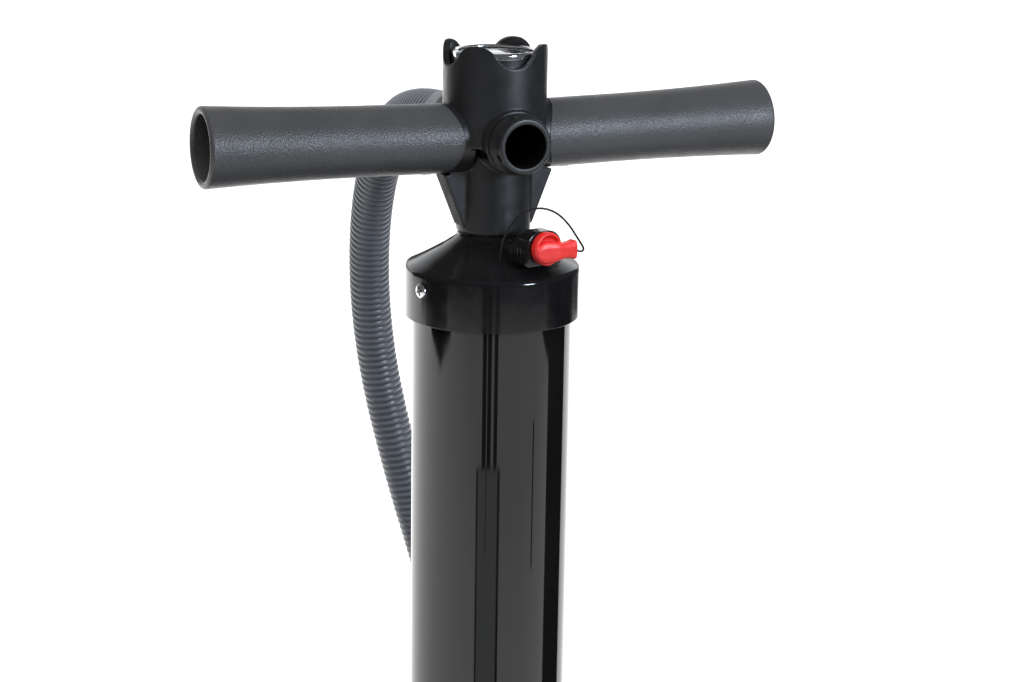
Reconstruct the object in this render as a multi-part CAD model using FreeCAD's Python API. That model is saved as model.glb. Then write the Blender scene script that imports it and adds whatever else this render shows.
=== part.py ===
import FreeCAD, Part
import math
import os

# Stand-up double-action hand pump with a T-handle: millimetres, +Z up, floor at z = 0,
# pump axis on x = y = 0, grips along X, open front port towards -Y, hose port towards +Y.

V = FreeCAD.Vector

# ---- driving dimensions -------------------------------------------------------------------
RIM_Z = 456.0            # lower rim of the barrel cap above the floor

BARREL_R = 47.0          # barrel tube
BARREL_WALL = 2.0
BARREL_FOOT_Z = 30.0     # where the tube stands in the base
BARREL_TOP_Z = RIM_Z + 25.5

BASE_LENGTH = 300.0      # foot plate along X
BASE_WIDTH = 154.0       # foot plate along Y
BASE_CORNER_R = 48.0
BASE_LOW_Z = 4.0
BASE_TOP_Z = 18.0
SOCKET_R = 56.0
SOCKET_TOP_Z = 70.0
SPIGOT_R = 44.8          # base plug inside the tube
SPIGOT_TOP_Z = 46.0
BUMPER_TOP_Z = 50.0
FOOT_X = 116.0
FOOT_Y = 41.0
TREAD_X = 103.0
TREAD_LENGTH = 74.0
TREAD_WIDTH = 112.0

CAP_R = 51.4
CAP_SHOULDER_Z = RIM_Z + 29.6
CAP_TOP_Z = RIM_Z + 49.3
CAP_EDGE_R = 3.4
BUSH_R = 17.0
BUSH_LOW_Z = RIM_Z + 36.0
RUNNING_GAP = 0.05

ROD_R = 14.0             # outer rod tube
ROD_WALL = 1.7
AIR_TUBE_R = 8.0         # inner rod tube
AIR_TUBE_WALL = 1.4

NECK_R = 21.6
NECK_LOW_Z = RIM_Z + 50.5
HOUSING_R = 30.0
HOUSING_LOW_Z = RIM_Z + 101.6
CROWN_VALLEY_Z = RIM_Z + 147.0
CROWN_PEAK_Z = RIM_Z + 159.5
CROWN_INNER_R = 26.1
GUSSET_THICKNESS = 15.0

PORT_Z = RIM_Z + 105.6
PORT_RING_R = 18.4
PORT_RING_Y = 31.0
PORT_TIP_Y = 44.3
PORT_SPIGOT_R = 16.0
PORT_CREST_R = 17.6
FRONT_BORE_R = 12.4
BACK_BORE_R = 10.5

GRIP_START_X = 31.0
GRIP_END_X = 174.5
GRIP_SADDLE_R = 33.3       # each grip's inner end is cut round the housing
GRIP_COLLAR_R = 19.7       # hub collar that each grip butts against
GRIP_ROOT_R = 20.0
GRIP_END_R = 22.8
GRIP_FLARE_X = 71.0      # where the straight part ends and the flare begins
GRIP_BORE_R = 17.4
GRIP_LIP_R = 2.2
GRIP_TILT_DEG = 0.88     # each grip rises slightly outwards
GRIP_ROOT_Z = RIM_Z + 105.3

PISTON_LOW_Z = 50.5
PISTON_R = 44.6

GAUGE_SEAT_Z = RIM_Z + 128.3
GAUGE_CASE_R = 25.0
GAUGE_RIM_Z = RIM_Z + 155.0

PLUG_AZIMUTH_DEG = 13.5  # plug block, from the front (-Y) towards +X
PLUG_Z = RIM_Z + 47.6
PLUG_FACE_R = 48.0       # radial place of the block's end face
PLUG_STEM_R = 6.4

SCREW_AZIMUTH_DEG = -75.3
SCREW_Z = RIM_Z + 20.2
SCREW_HEAD_R = 4.3
SCREW_SHANK_R = 1.8

HOSE_R = 14.0
HOSE_BORE_R = 11.5
HOSE_FLOOR_Z = 14.3

# centreline of the hose, from the end of its upper cuff to the valve connector on the floor
HOSE_ROUTE = [
    (0.0, 76.0, RIM_Z + 105.6),
    (0.0, 108.0, RIM_Z + 105.6),
    (9.0, 180.0, RIM_Z + 88.5),
    (13.5, 238.0, RIM_Z + 36.5),
    (23.5, 279.0, RIM_Z - 38.0),
    (38.0, 299.0, RIM_Z - 116.0),
    (60.0, 300.5, RIM_Z - 203.0),
    (84.0, 296.5, RIM_Z - 284.0),
    (100.0, 292.0, RIM_Z - 350.0),
    (140.0, 284.0, RIM_Z - 406.0),
    (214.0, 265.0, HOSE_FLOOR_Z),
    (274.0, 206.0, HOSE_FLOOR_Z),
    (288.0, 118.0, HOSE_FLOOR_Z),
    (268.0, 26.0, HOSE_FLOOR_Z),
    (232.0, -70.0, HOSE_FLOOR_Z),
]

# centreline of the plug's springy tether, from its hole in the cap to the hole in the lever
TETHER_R = 0.6
TETHER_ROUTE = [
    (-11.2, -34.7, RIM_Z + 36.8),
    (-12.6, -39.8, RIM_Z + 48.2),
    (-11.2, -44.6, RIM_Z + 58.8),
    (-4.9, -48.5, RIM_Z + 68.6),
    (5.2, -50.6, RIM_Z + 72.4),
    (15.9, -50.5, RIM_Z + 69.2),
    (24.6, -49.4, RIM_Z + 61.6),
    (31.5, -48.1, RIM_Z + 52.2),
    (34.6, -47.3, RIM_Z + 48.0),
    (36.3, -46.9, RIM_Z + 45.4),
    (35.3, -46.6, RIM_Z + 43.9),
    (33.2, -46.9, RIM_Z + 44.1),
    (30.4, -47.6, RIM_Z + 45.6),
    (27.0, -48.4, RIM_Z + 45.9),
]


# ---- small helpers ------------------------------------------------------------------------
def cylinder(radius, low_z, high_z):
    return Part.makeCylinder(radius, high_z - low_z, V(0, 0, low_z))


def ring(outer_r, inner_r, low_z, high_z):
    return cylinder(outer_r, low_z, high_z).cut(cylinder(inner_r, low_z - 1, high_z + 1))


def rod_along(axis, radius, start, end, side=(0.0, 0.0)):
    """Cylinder along 'x' or 'y' between two coordinates; side holds the other two."""
    if axis == "x":
        return Part.makeCylinder(radius, end - start, V(start, side[0], side[1]), V(1, 0, 0))
    return Part.makeCylinder(radius, end - start, V(side[0], start, side[1]), V(0, 1, 0))


def ring_along_y(outer_r, inner_r, start, end, z):
    outer = rod_along("y", outer_r, start, end, (0, z))
    return outer.cut(rod_along("y", inner_r, start - 1, end + 1, (0, z)))


def box(low, high):
    return Part.makeBox(high[0] - low[0], high[1] - low[1], high[2] - low[2], V(*low))


def face_from(points):
    corners = [V(*p) for p in points]
    return Part.Face(Part.makePolygon(corners + [corners[0]]))


def revolved(profile):
    """Solid of revolution about Z from (radius, z) corners."""
    face = face_from([(r, 0, z) for r, z in profile])
    return face.revolve(V(0, 0, 0), V(0, 0, 1), 360)


def turned(shape, degrees):
    """The shape turned about the pump axis."""
    copy = shape.copy()
    copy.rotate(V(0, 0, 0), V(0, 0, 1), degrees)
    return copy


def fillet_near(shape, radius, wanted):
    """Round the edges that the test picks."""
    edges = [edge for edge in shape.Edges if wanted(edge)]
    return shape.makeFillet(radius, edges)


def circle_edge_at(edge, radius, z):
    curve = edge.Curve
    is_circle = curve.TypeId == "Part::GeomCircle"
    return is_circle and abs(curve.Radius - radius) < 0.01 and abs(curve.Center.z - z) < 0.01


def radial_screws(azimuths, head_seat_r, tip_r, z, head_r=SCREW_HEAD_R):
    """Pan-head screws pointing at the pump axis, azimuths in degrees from -Y towards +X."""
    screws = []
    for azimuth in azimuths:
        shank = rod_along("y", SCREW_SHANK_R, -head_seat_r, -tip_r, (0, z))
        head = rod_along("y", head_r, -head_seat_r - 2.2, -head_seat_r, (0, z))
        head = fillet_near(head, 1.2, lambda e: e.CenterOfMass.y < -head_seat_r - 2.1)
        slot = box((-2.4, -head_seat_r - 3, z - 0.45), (2.4, -head_seat_r - 1.0, z + 0.45))
        cross = box((-0.45, -head_seat_r - 3, z - 2.4), (0.45, -head_seat_r - 1.0, z + 2.4))
        screws.append(turned(head.fuse(shank).cut(slot).cut(cross), azimuth))
    return Part.makeCompound(screws)


def radial_holes(azimuths, outer_r, inner_r, z, radius):
    holes = [turned(rod_along("y", radius, -outer_r, -inner_r, (0, z)), a) for a in azimuths]
    return Part.makeCompound(holes)


def rounded_path(points, name):
    """Straight runs joined by tangent arcs, each as large as its two runs allow."""
    corners = [V(*p) for p in points]
    edges = []
    last = corners[0]
    radii = []
    for before, here, after in zip(corners, corners[1:], corners[2:]):
        back = (before - here).normalize()
        ahead = (after - here).normalize()
        turn = math.pi - back.getAngle(ahead)
        shorter = min((before - here).Length, (after - here).Length)
        reach = 0.45 * shorter
        radius = reach / math.tan(turn / 2)
        radii.append(radius)
        start = here + back * reach
        end = here + ahead * reach
        inward = (back + ahead).normalize()
        middle = here + inward * (radius / math.cos(turn / 2) - radius)
        edges.append(Part.LineSegment(last, start).toShape())
        edges.append(Part.Arc(start, middle, end).toShape())
        last = end
    edges.append(Part.LineSegment(last, corners[-1]).toShape())
    path = Part.Wire(edges)
    print(name, "length", round(path.Length, 1), "radii", [round(r, 1) for r in radii])
    return path


def swept(path, points, radius):
    start = V(*points[0])
    direction = V(*points[1]) - start
    profile = Part.Wire(Part.makeCircle(radius, start, direction))
    return path.makePipeShell([profile], True, True)


# ---- base and barrel ----------------------------------------------------------------------
SOCKET_SCREWS = (45, 135, 225, 315)
SOCKET_SCREW_Z = 39.0


def foot_plate_outline(inset, low_z, high_z):
    half_x = BASE_LENGTH / 2 - inset
    half_y = BASE_WIDTH / 2 - inset
    slab = box((-half_x, -half_y, low_z), (half_x, half_y, high_z))
    corner = BASE_CORNER_R - inset
    return fillet_near(slab, corner, lambda e: abs(e.tangentAt(0).z) > 0.9)


def base_plate():
    wall = 3.5
    plate = foot_plate_outline(0, BASE_LOW_Z, BASE_TOP_Z)
    plate = fillet_near(plate, 4.0, lambda e: e.BoundBox.ZMin > BASE_TOP_Z - 0.01)
    hollow = foot_plate_outline(wall, BASE_LOW_Z - 1, BASE_TOP_Z - wall)
    hollow = hollow.cut(cylinder(SOCKET_R, 0, BASE_TOP_Z))
    for x in (-88, -60, 57, 85, 113, -116):
        hollow = hollow.cut(box((x, -BASE_WIDTH, 0), (x + 3, BASE_WIDTH, BASE_TOP_Z)))
    for y in (-25, -1.5, 22):
        hollow = hollow.cut(box((-BASE_LENGTH, y, 0), (BASE_LENGTH, y + 3, BASE_TOP_Z)))
    for x in (-FOOT_X, FOOT_X):
        for y in (-FOOT_Y, FOOT_Y):
            hollow = hollow.cut(Part.makeCylinder(13, BASE_TOP_Z, V(x, y, 0)))
    plate = plate.cut(hollow)
    socket = cylinder(SOCKET_R, BASE_LOW_Z, SOCKET_TOP_Z)
    socket = fillet_near(socket, 3.0, lambda e: circle_edge_at(e, SOCKET_R, SOCKET_TOP_Z))
    rib = face_from([(SOCKET_R - 6, -4, BASE_TOP_Z - 2), (SOCKET_R - 6, -4, 62),
                     (SOCKET_R + 1, -4, 62), (SOCKET_R + 26, -4, BASE_TOP_Z - 2)]).extrude(V(0, 8, 0))
    rib = fillet_near(rib, 2.0, lambda e: e.BoundBox.XMin > SOCKET_R and e.BoundBox.ZLength > 10)
    plate = plate.fuse([socket] + [turned(rib, a) for a in (0, 180)])
    tube_seat = ring(BARREL_R + 0.1, SPIGOT_R, BARREL_FOOT_Z, SPIGOT_TOP_Z)
    mouth = cylinder(BARREL_R + 0.1, SPIGOT_TOP_Z, SOCKET_TOP_Z + 1)
    plate = plate.cut([tube_seat, mouth, cylinder(38, 0, SPIGOT_TOP_Z - 6)])
    plate = plate.cut(ring(SPIGOT_R + 1, SPIGOT_R - 1.6, BARREL_FOOT_Z + 3.5, BARREL_FOOT_Z + 6.1))
    for side in (-1, 1):
        plate = plate.cut(tread_block(side, 0.3, BASE_TOP_Z - 1.8, BASE_TOP_Z + 5))
        for y in (-FOOT_Y, FOOT_Y):
            plate = plate.cut(Part.makeCylinder(4, 9, V(side * FOOT_X, y, 0)))
    return plate.cut(radial_holes(SOCKET_SCREWS, SOCKET_R + 1, 41, SOCKET_SCREW_Z, SCREW_SHANK_R))


def tread_block(side, gap, low_z, high_z):
    half_x = TREAD_LENGTH / 2 + gap
    half_y = TREAD_WIDTH / 2 + gap
    slab = box((side * TREAD_X - half_x, -half_y, low_z), (side * TREAD_X + half_x, half_y, high_z))
    return fillet_near(slab, 16 + gap, lambda e: abs(e.tangentAt(0).z) > 0.9)


def foot_treads():
    pads = []
    for side in (-1, 1):
        pad = tread_block(side, 0, BASE_TOP_Z - 1.8, BASE_TOP_Z + 1.4)
        for index in range(9):
            x = side * TREAD_X + (index - 4) * 7.6
            pad = pad.cut(box((x - 1.2, -TREAD_WIDTH, BASE_TOP_Z + 0.2),
                              (x + 1.2, TREAD_WIDTH, BASE_TOP_Z + 5)))
        pads.append(pad)
    return Part.makeCompound(pads)


def base_feet():
    feet = []
    for x in (-FOOT_X, FOOT_X):
        for y in (-FOOT_Y, FOOT_Y):
            disc = Part.makeCylinder(11, BASE_LOW_Z, V(x, y, 0))
            disc = fillet_near(disc, 1.0, lambda e: e.BoundBox.ZMax < 0.01)
            feet.append(disc.fuse(Part.makeCylinder(4, 8.5, V(x, y, 0))))
    return Part.makeCompound(feet)


def base_screws():
    return radial_screws(SOCKET_SCREWS, SOCKET_R, 42, SOCKET_SCREW_Z)


def base_seal():
    return ring(SPIGOT_R + 0.2, SPIGOT_R - 1.6, BARREL_FOOT_Z + 3.6, BARREL_FOOT_Z + 6.0)


def bottom_bumper():
    return ring(36, 20, SPIGOT_TOP_Z, BUMPER_TOP_Z)


def barrel_tube():
    tube = ring(BARREL_R, BARREL_R - BARREL_WALL, BARREL_FOOT_Z, BARREL_TOP_Z)
    tube = tube.cut(radial_holes(SOCKET_SCREWS, BARREL_R + 1, 40, SOCKET_SCREW_Z, SCREW_SHANK_R))
    cap_holes = (SCREW_AZIMUTH_DEG, SCREW_AZIMUTH_DEG + 180)
    return tube.cut(radial_holes(cap_holes, BARREL_R + 1, 40, SCREW_Z, SCREW_SHANK_R))


# ---- cap ----------------------------------------------------------------------------------
CAP_SPIGOT_R = 44.8
CAP_SEAL_Z = RIM_Z + 10.0
SEAL_SEAT_R = 18.0
SEAL_SEAT_LOW_Z = RIM_Z + 18.0
SEAL_SEAT_HIGH_Z = RIM_Z + 32.0
BLOCK_HALF_WIDTH = 13.0
BLOCK_TOP_Z = RIM_Z + 57.2


def plug_block():
    """The block on the cone that holds the red plug, drawn towards -Y and then turned."""
    half = BLOCK_HALF_WIDTH
    low_z = RIM_Z + 37.2
    slab = box((-half, -PLUG_FACE_R, low_z), (half, -23.5, BLOCK_TOP_Z))
    slab = fillet_near(slab, 9.5, lambda e: abs(e.tangentAt(0).y) > 0.9 and e.BoundBox.ZMin > PLUG_Z)
    slope = face_from([(-20, -23, RIM_Z + 49.4), (-20, -29, RIM_Z + 49.4), (-20, -38, BLOCK_TOP_Z + 0.5),
                       (-20, -38, BLOCK_TOP_Z + 9), (-20, -23, BLOCK_TOP_Z + 9)]).extrude(V(40, 0, 0))
    slab = slab.cut(slope)
    for side in (-1, 1):
        for y in (-43.5, -40.5, -37.5, -34.5):
            slab = slab.cut(Part.makeCylinder(0.5, 40, V(side * (half + 0.1), y, low_z - 1)))
    slab = fillet_near(slab, 0.8, lambda e: e.BoundBox.YMax < -PLUG_FACE_R + 0.01
                       and e.BoundBox.ZMin > low_z + 0.5)
    return turned(slab, PLUG_AZIMUTH_DEG)


def top_cap():
    profile = [(CAP_R, RIM_Z + 0.6), (CAP_R, CAP_SHOULDER_Z), (44.0, RIM_Z + 33.3), (28.9, RIM_Z + 42.0),
               (23.2, RIM_Z + 45.8), (21.2, RIM_Z + 47.5), (20.8, CAP_TOP_Z),
               (BUSH_R + RUNNING_GAP, CAP_TOP_Z), (BUSH_R + RUNNING_GAP, BUSH_LOW_Z),
               (ROD_R + 0.4, BUSH_LOW_Z), (ROD_R + 0.4, SEAL_SEAT_HIGH_Z),
               (SEAL_SEAT_R, SEAL_SEAT_HIGH_Z), (SEAL_SEAT_R, SEAL_SEAT_LOW_Z),
               (22.0, SEAL_SEAT_LOW_Z), (22.0, RIM_Z + 42.0), (28.0, RIM_Z + 38.6),
               (40.8, RIM_Z + 31.0), (40.8, RIM_Z + 8.0), (CAP_SPIGOT_R, RIM_Z + 8.0),
               (CAP_SPIGOT_R, RIM_Z + 26.0), (BARREL_R + 0.1, RIM_Z + 26.0), (BARREL_R + 0.1, RIM_Z),
               (CAP_R - 0.6, RIM_Z)]
    cap = revolved(profile)
    cap = fillet_near(cap, CAP_EDGE_R, lambda e: circle_edge_at(e, CAP_R, CAP_SHOULDER_Z))
    cap = cap.fuse(plug_block())
    cap = cap.cut(ring(CAP_SPIGOT_R + 1, CAP_SPIGOT_R - 1.6, CAP_SEAL_Z, CAP_SEAL_Z + 2.6))
    seat = rod_along("y", PLUG_STEM_R + 0.05, -PLUG_FACE_R - 1, -29, (0, PLUG_Z))
    duct = Part.makeCylinder(4.0, 24, V(0, -33, PLUG_Z - 24))
    cap = cap.cut([turned(seat, PLUG_AZIMUTH_DEG), turned(duct, PLUG_AZIMUTH_DEG)])
    screws = (SCREW_AZIMUTH_DEG, SCREW_AZIMUTH_DEG + 180)
    cap = cap.cut(radial_holes(screws, CAP_R + 1, 40, SCREW_Z, SCREW_SHANK_R))
    start = V(*TETHER_ROUTE[0])
    inward = start - V(*TETHER_ROUTE[1])
    hole_start = start - inward.normalize() * 4
    return cap.cut(Part.makeCylinder(TETHER_R, 4, hole_start, inward))


def cap_seal():
    return ring(CAP_SPIGOT_R + 0.2, CAP_SPIGOT_R - 1.6, CAP_SEAL_Z + 0.1, CAP_SEAL_Z + 2.5)


def cap_screws():
    return radial_screws((SCREW_AZIMUTH_DEG, SCREW_AZIMUTH_DEG + 180), CAP_R, 41, SCREW_Z)


def rod_seal():
    return ring(SEAL_SEAT_R, ROD_R + RUNNING_GAP, SEAL_SEAT_HIGH_Z - 6, SEAL_SEAT_HIGH_Z)


def seal_retainer():
    return ring(SEAL_SEAT_R, ROD_R + 0.4, SEAL_SEAT_LOW_Z + 2, SEAL_SEAT_HIGH_Z - 6)


def rod_bush():
    bush = ring(BUSH_R, ROD_R + RUNNING_GAP, BUSH_LOW_Z + 0.1, CAP_TOP_Z - 0.3)
    return bush.makeChamfer(0.5, [e for e in bush.Edges if e.BoundBox.ZMin > CAP_TOP_Z - 0.4])


# ---- red plug -----------------------------------------------------------------------------
LEVER_TAIL_X = 17.8
LEVER_Z = RIM_Z + 45.9
PLUG_HEAD_R = 9.6


def relief_plug():
    """Push-in plug with a fishtail lever, drawn towards -Y and then turned."""
    face_y = -PLUG_FACE_R
    stem = rod_along("y", PLUG_STEM_R, face_y, -31, (0, PLUG_Z))
    groove = ring_along_y(PLUG_STEM_R + 1, PLUG_STEM_R - 1.5, face_y + 4, face_y + 6.4, PLUG_Z)
    core = rod_along("y", PLUG_STEM_R - 2.4, -40, -30, (0, PLUG_Z))
    stem = stem.cut(groove)
    head = rod_along("y", PLUG_HEAD_R, face_y - 4.6, face_y - 0.1, (0, PLUG_Z))
    head = fillet_near(head, 1.4, lambda e: e.CenterOfMass.y < face_y - 4.5)
    outline = []
    for x, half in ((-7.9, 3.0), (-6.2, 4.9), (-2.8, 6.2), (2.2, 5.9), (9.5, 4.3), (14.0, 4.8),
                    (LEVER_TAIL_X, 5.7)):
        outline.append((x, half))
    upper = Part.BSplineCurve()
    upper.interpolate([V(x, 0, LEVER_Z + half) for x, half in outline])
    lower = Part.BSplineCurve()
    lower.interpolate([V(x, 0, LEVER_Z - half) for x, half in outline])
    first, last = outline[0], outline[-1]
    tail = Part.LineSegment(V(last[0], 0, LEVER_Z + last[1]), V(last[0], 0, LEVER_Z - last[1]))
    nib = Part.Arc(V(first[0], 0, LEVER_Z - first[1]), V(first[0] - 1.0, 0, LEVER_Z),
                   V(first[0], 0, LEVER_Z + first[1]))
    wire = Part.Wire(Part.__sortEdges__([c.toShape() for c in (upper, tail, lower, nib)]))
    lever = Part.Face(wire).extrude(V(0, -5.0, 0))
    lever.translate(V(0, face_y - 3.0, 0))
    plug = stem.fuse([head, lever]).cut(core)
    plug = fillet_near(plug, 1.0, lambda e: e.BoundBox.YMax < face_y - 7.9)
    hole = rod_along("x", TETHER_R + 0.5, LEVER_TAIL_X - 3.4, LEVER_TAIL_X + 2, (face_y - 5.4, LEVER_Z))
    return turned(plug.cut(hole), PLUG_AZIMUTH_DEG)


def plug_seal():
    seal = ring_along_y(PLUG_STEM_R + 0.02, PLUG_STEM_R - 1.5, -PLUG_FACE_R + 4.1, -PLUG_FACE_R + 6.3,
                        PLUG_Z)
    return turned(seal, PLUG_AZIMUTH_DEG)


def tether():
    path = rounded_path(TETHER_ROUTE, "tether")
    return swept(path, TETHER_ROUTE, TETHER_R)


# ---- rod and piston -----------------------------------------------------------------------
ROD_LOW_Z = PISTON_LOW_Z + 14
ROD_TOP_Z = RIM_Z + 82.0
AIR_TUBE_TOP_Z = RIM_Z + 95.0
PISTON_DISC = 7.0
PISTON_SEAL = 9.0
PISTON_TOP_Z = PISTON_LOW_Z + 2 * PISTON_DISC + PISTON_SEAL


def piston_rod():
    return ring(ROD_R, ROD_R - ROD_WALL, ROD_LOW_Z, ROD_TOP_Z)


def air_tube():
    return ring(AIR_TUBE_R, AIR_TUBE_R - AIR_TUBE_WALL, PISTON_LOW_Z + 4, AIR_TUBE_TOP_Z)


def valve_holes(low_z, high_z):
    holes = []
    for index in range(6):
        angle = math.radians(60 * index)
        foot = V(29 * math.cos(angle), 29 * math.sin(angle), low_z)
        holes.append(Part.makeCylinder(4.5, high_z - low_z, foot))
    return holes


def piston_lower():
    disc = cylinder(PISTON_R, PISTON_LOW_Z, PISTON_LOW_Z + PISTON_DISC)
    hub = cylinder(20, PISTON_LOW_Z + PISTON_DISC, PISTON_LOW_Z + 14)
    disc = disc.fuse(hub).cut(cylinder(AIR_TUBE_R, PISTON_LOW_Z + 4, 200))
    disc = disc.cut(cylinder(4.2, 0, PISTON_LOW_Z + 4))
    return disc.cut(valve_holes(PISTON_LOW_Z - 1, PISTON_LOW_Z + PISTON_DISC + 1))


def piston_upper():
    low_z = PISTON_LOW_Z + PISTON_DISC + PISTON_SEAL
    disc = ring(PISTON_R, 20.2, low_z, PISTON_TOP_Z)
    collar = ring(24, ROD_R, PISTON_LOW_Z + 14, PISTON_TOP_Z + 10)
    disc = disc.fuse(collar).cut(cylinder(20.2, 0, PISTON_LOW_Z + 14))
    disc = disc.cut(ring(30, 24, PISTON_LOW_Z + 14 - 5, low_z))
    return disc.cut(valve_holes(low_z - 1, PISTON_TOP_Z + 1))


def piston_seal():
    low_z = PISTON_LOW_Z + PISTON_DISC + 2.4
    return ring(BARREL_R - BARREL_WALL - RUNNING_GAP, 39.6, low_z, low_z + PISTON_SEAL - 4.8)


def piston_spacer():
    low_z = PISTON_LOW_Z + PISTON_DISC
    return ring(39.5, 35.0, low_z, low_z + PISTON_SEAL)


def lower_flap():
    low_z = PISTON_LOW_Z + PISTON_DISC
    return ring(34.8, 20.2, low_z, low_z + 1.5)


def upper_flap():
    return ring(34.8, 24.2, PISTON_TOP_Z, PISTON_TOP_Z + 1.5)


def top_bumper():
    return ring(24, ROD_R, PISTON_TOP_Z + 10, PISTON_TOP_Z + 16)


# ---- handle hub ---------------------------------------------------------------------------
def scallop_cutter():
    """Prism along X that leaves a smooth valley between two crown lobes."""
    half_pitch = HOUSING_R * math.sin(math.radians(45))
    valley_r = 13.2
    peak_r = 11.0
    low = V(0, 0, CROWN_VALLEY_Z)
    valley_centre = CROWN_VALLEY_Z + valley_r
    reach = valley_r / (valley_r + peak_r)
    start = CROWN_PEAK_Z
    edges = []
    for side in (-1, 1):
        peak_centre = V(0, side * half_pitch, CROWN_PEAK_Z - peak_r)
        centre = V(0, 0, valley_centre)
        joint = centre + (peak_centre - centre) * reach
        top = V(0, side * half_pitch, start)
        middle = (joint + top) * 0.5
        outward = (middle - peak_centre).normalize() * peak_r
        peak_arc = Part.Arc(joint, peak_centre + outward, top)
        inner_middle = centre + ((joint + low) * 0.5 - centre).normalize() * valley_r
        valley_arc = Part.Arc(joint, inner_middle, low)
        edges += [peak_arc.toShape(), valley_arc.toShape()]
        edges.append(Part.LineSegment(top, V(0, side * half_pitch, start + 10)).toShape())
    edges.append(Part.LineSegment(V(0, -half_pitch, start + 10), V(0, half_pitch, start + 10)).toShape())
    wire = Part.Wire(Part.__sortEdges__(edges))
    prism = Part.Face(wire).extrude(V(2 * HOUSING_R + 20, 0, 0))
    prism.translate(V(-HOUSING_R - 10, 0, 0))
    return prism


def thread_ridge(start_y, turns, pitch):
    """Trapezoid ridge wound on the port's spigot, along +Y from start_y."""
    helix = Part.makeHelix(pitch, pitch * turns, PORT_SPIGOT_R - 0.3)
    root = PORT_SPIGOT_R - 0.3
    crest = PORT_CREST_R
    corners = [(root, 0, -1.5), (crest, 0, -0.7), (crest, 0, 0.7), (root, 0, 1.5)]
    profile = Part.makePolygon([V(*c) for c in corners + corners[:1]])
    ridge = Part.Wire(helix).makePipeShell([profile], True, True)
    ridge.rotate(V(0, 0, 0), V(1, 0, 0), -90)
    ridge.rotate(V(0, 0, 0), V(0, 1, 0), 200)
    ridge.translate(V(0, start_y, PORT_Z))
    return ridge


def port(side, bore_r, bore_end_y):
    """Port stub, spigot and bore; side is -1 for the front and +1 for the back."""
    stub = rod_along("y", PORT_RING_R, 0, PORT_RING_Y, (0, PORT_Z))
    stub = fillet_near(stub, 0.8, lambda e: e.BoundBox.YMin > PORT_RING_Y - 0.01)
    spigot = rod_along("y", PORT_SPIGOT_R, 0, PORT_TIP_Y, (0, PORT_Z))
    spigot = fillet_near(spigot, 1.3, lambda e: e.BoundBox.YMin > PORT_TIP_Y - 0.01)
    solid = stub.fuse([spigot, thread_ridge(PORT_RING_Y + 3.3, 1.25, 3.6)])
    bore = rod_along("y", bore_r, bore_end_y, PORT_TIP_Y + 1, (0, PORT_Z))
    if side < 0:
        solid.rotate(V(0, 0, PORT_Z), V(0, 0, 1), 180)
        bore.rotate(V(0, 0, PORT_Z), V(0, 0, 1), 180)
    return solid, bore


def gussets():
    half = GUSSET_THICKNESS / 2
    plate = face_from([(10, -half, RIM_Z + 54), (NECK_R, -half, RIM_Z + 54),
                       (34.0, -half, RIM_Z + 85), (30.4, -half, RIM_Z + 85),
                       (30.4, -half, RIM_Z + 96), (10, -half, RIM_Z + 96)])
    plate = plate.extrude(V(0, GUSSET_THICKNESS, 0))
    plate = fillet_near(plate, 0.8, lambda e: e.BoundBox.XMin > NECK_R - 0.1 and e.BoundBox.ZLength > 20)
    return [plate, turned(plate, 180)]


def handle_hub():
    housing = cylinder(HOUSING_R, HOUSING_LOW_Z, CROWN_PEAK_Z + 1)
    housing = housing.cut(cylinder(CROWN_INNER_R, GAUGE_SEAT_Z, CROWN_PEAK_Z + 5))
    cutter = scallop_cutter()
    housing = housing.cut([cutter, turned(cutter, 90)])
    neck = cylinder(NECK_R, NECK_LOW_Z, HOUSING_LOW_Z + 2)
    neck = fillet_near(neck, 0.8, lambda e: circle_edge_at(e, NECK_R, NECK_LOW_Z))
    front, front_bore = port(-1, FRONT_BORE_R, 10)
    back, back_bore = port(1, BACK_BORE_R, -6)
    parts = [neck, front, back] + gussets()
    inside_saddles = cylinder(GRIP_SADDLE_R - 0.1, RIM_Z + 70, RIM_Z + 140)
    for side in (-1, 1):
        parts.append(along_grip(side, grip_spigot()))
        parts.append(along_grip(side, rod_along("x", GRIP_COLLAR_R, -12, 8)).common(inside_saddles))
    hub = housing.fuse(parts)
    suction_duct = Part.makeCylinder(2.2, 21, V(0, -10.4, ROD_TOP_Z - 2), V(0, -0.42, 1))
    stem_hole = cylinder(5, PORT_Z, GAUGE_SEAT_Z + 1)
    seal_recess = cylinder(9, GAUGE_SEAT_Z - 1.3, GAUGE_SEAT_Z + 1)
    rod_hole = cylinder(ROD_R, NECK_LOW_Z - 1, ROD_TOP_Z)
    tube_hole = cylinder(AIR_TUBE_R, ROD_TOP_Z - 1, PORT_Z)
    set_screw_hole = rod_along("y", 2.5, 12, 30, (0, ROD_SCREW_Z))
    return hub.cut([front_bore, back_bore, suction_duct, stem_hole, seal_recess, rod_hole, tube_hole,
                    set_screw_hole])


ROD_SCREW_Z = RIM_Z + 66.0


def rod_screw():
    """Set screw that holds the rod in the hub's neck, from the back."""
    screw = rod_along("y", 2.5, ROD_R, NECK_R - 0.6, (0, ROD_SCREW_Z))
    socket = rod_along("y", 1.3, NECK_R - 3, NECK_R, (0, ROD_SCREW_Z))
    return screw.cut(socket)


# ---- grips --------------------------------------------------------------------------------
GRIP_SPIGOT_LENGTH = 22.0


def along_grip(side, shape):
    """Place a shape drawn along +X from the hub's side; side is +1 or -1."""
    placed = shape.copy()
    placed.rotate(V(0, 0, 0), V(0, 1, 0), -GRIP_TILT_DEG)
    placed.translate(V(GRIP_START_X, 0, GRIP_ROOT_Z))
    return placed if side > 0 else placed.mirror(V(0, 0, 0), V(1, 0, 0))


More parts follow.
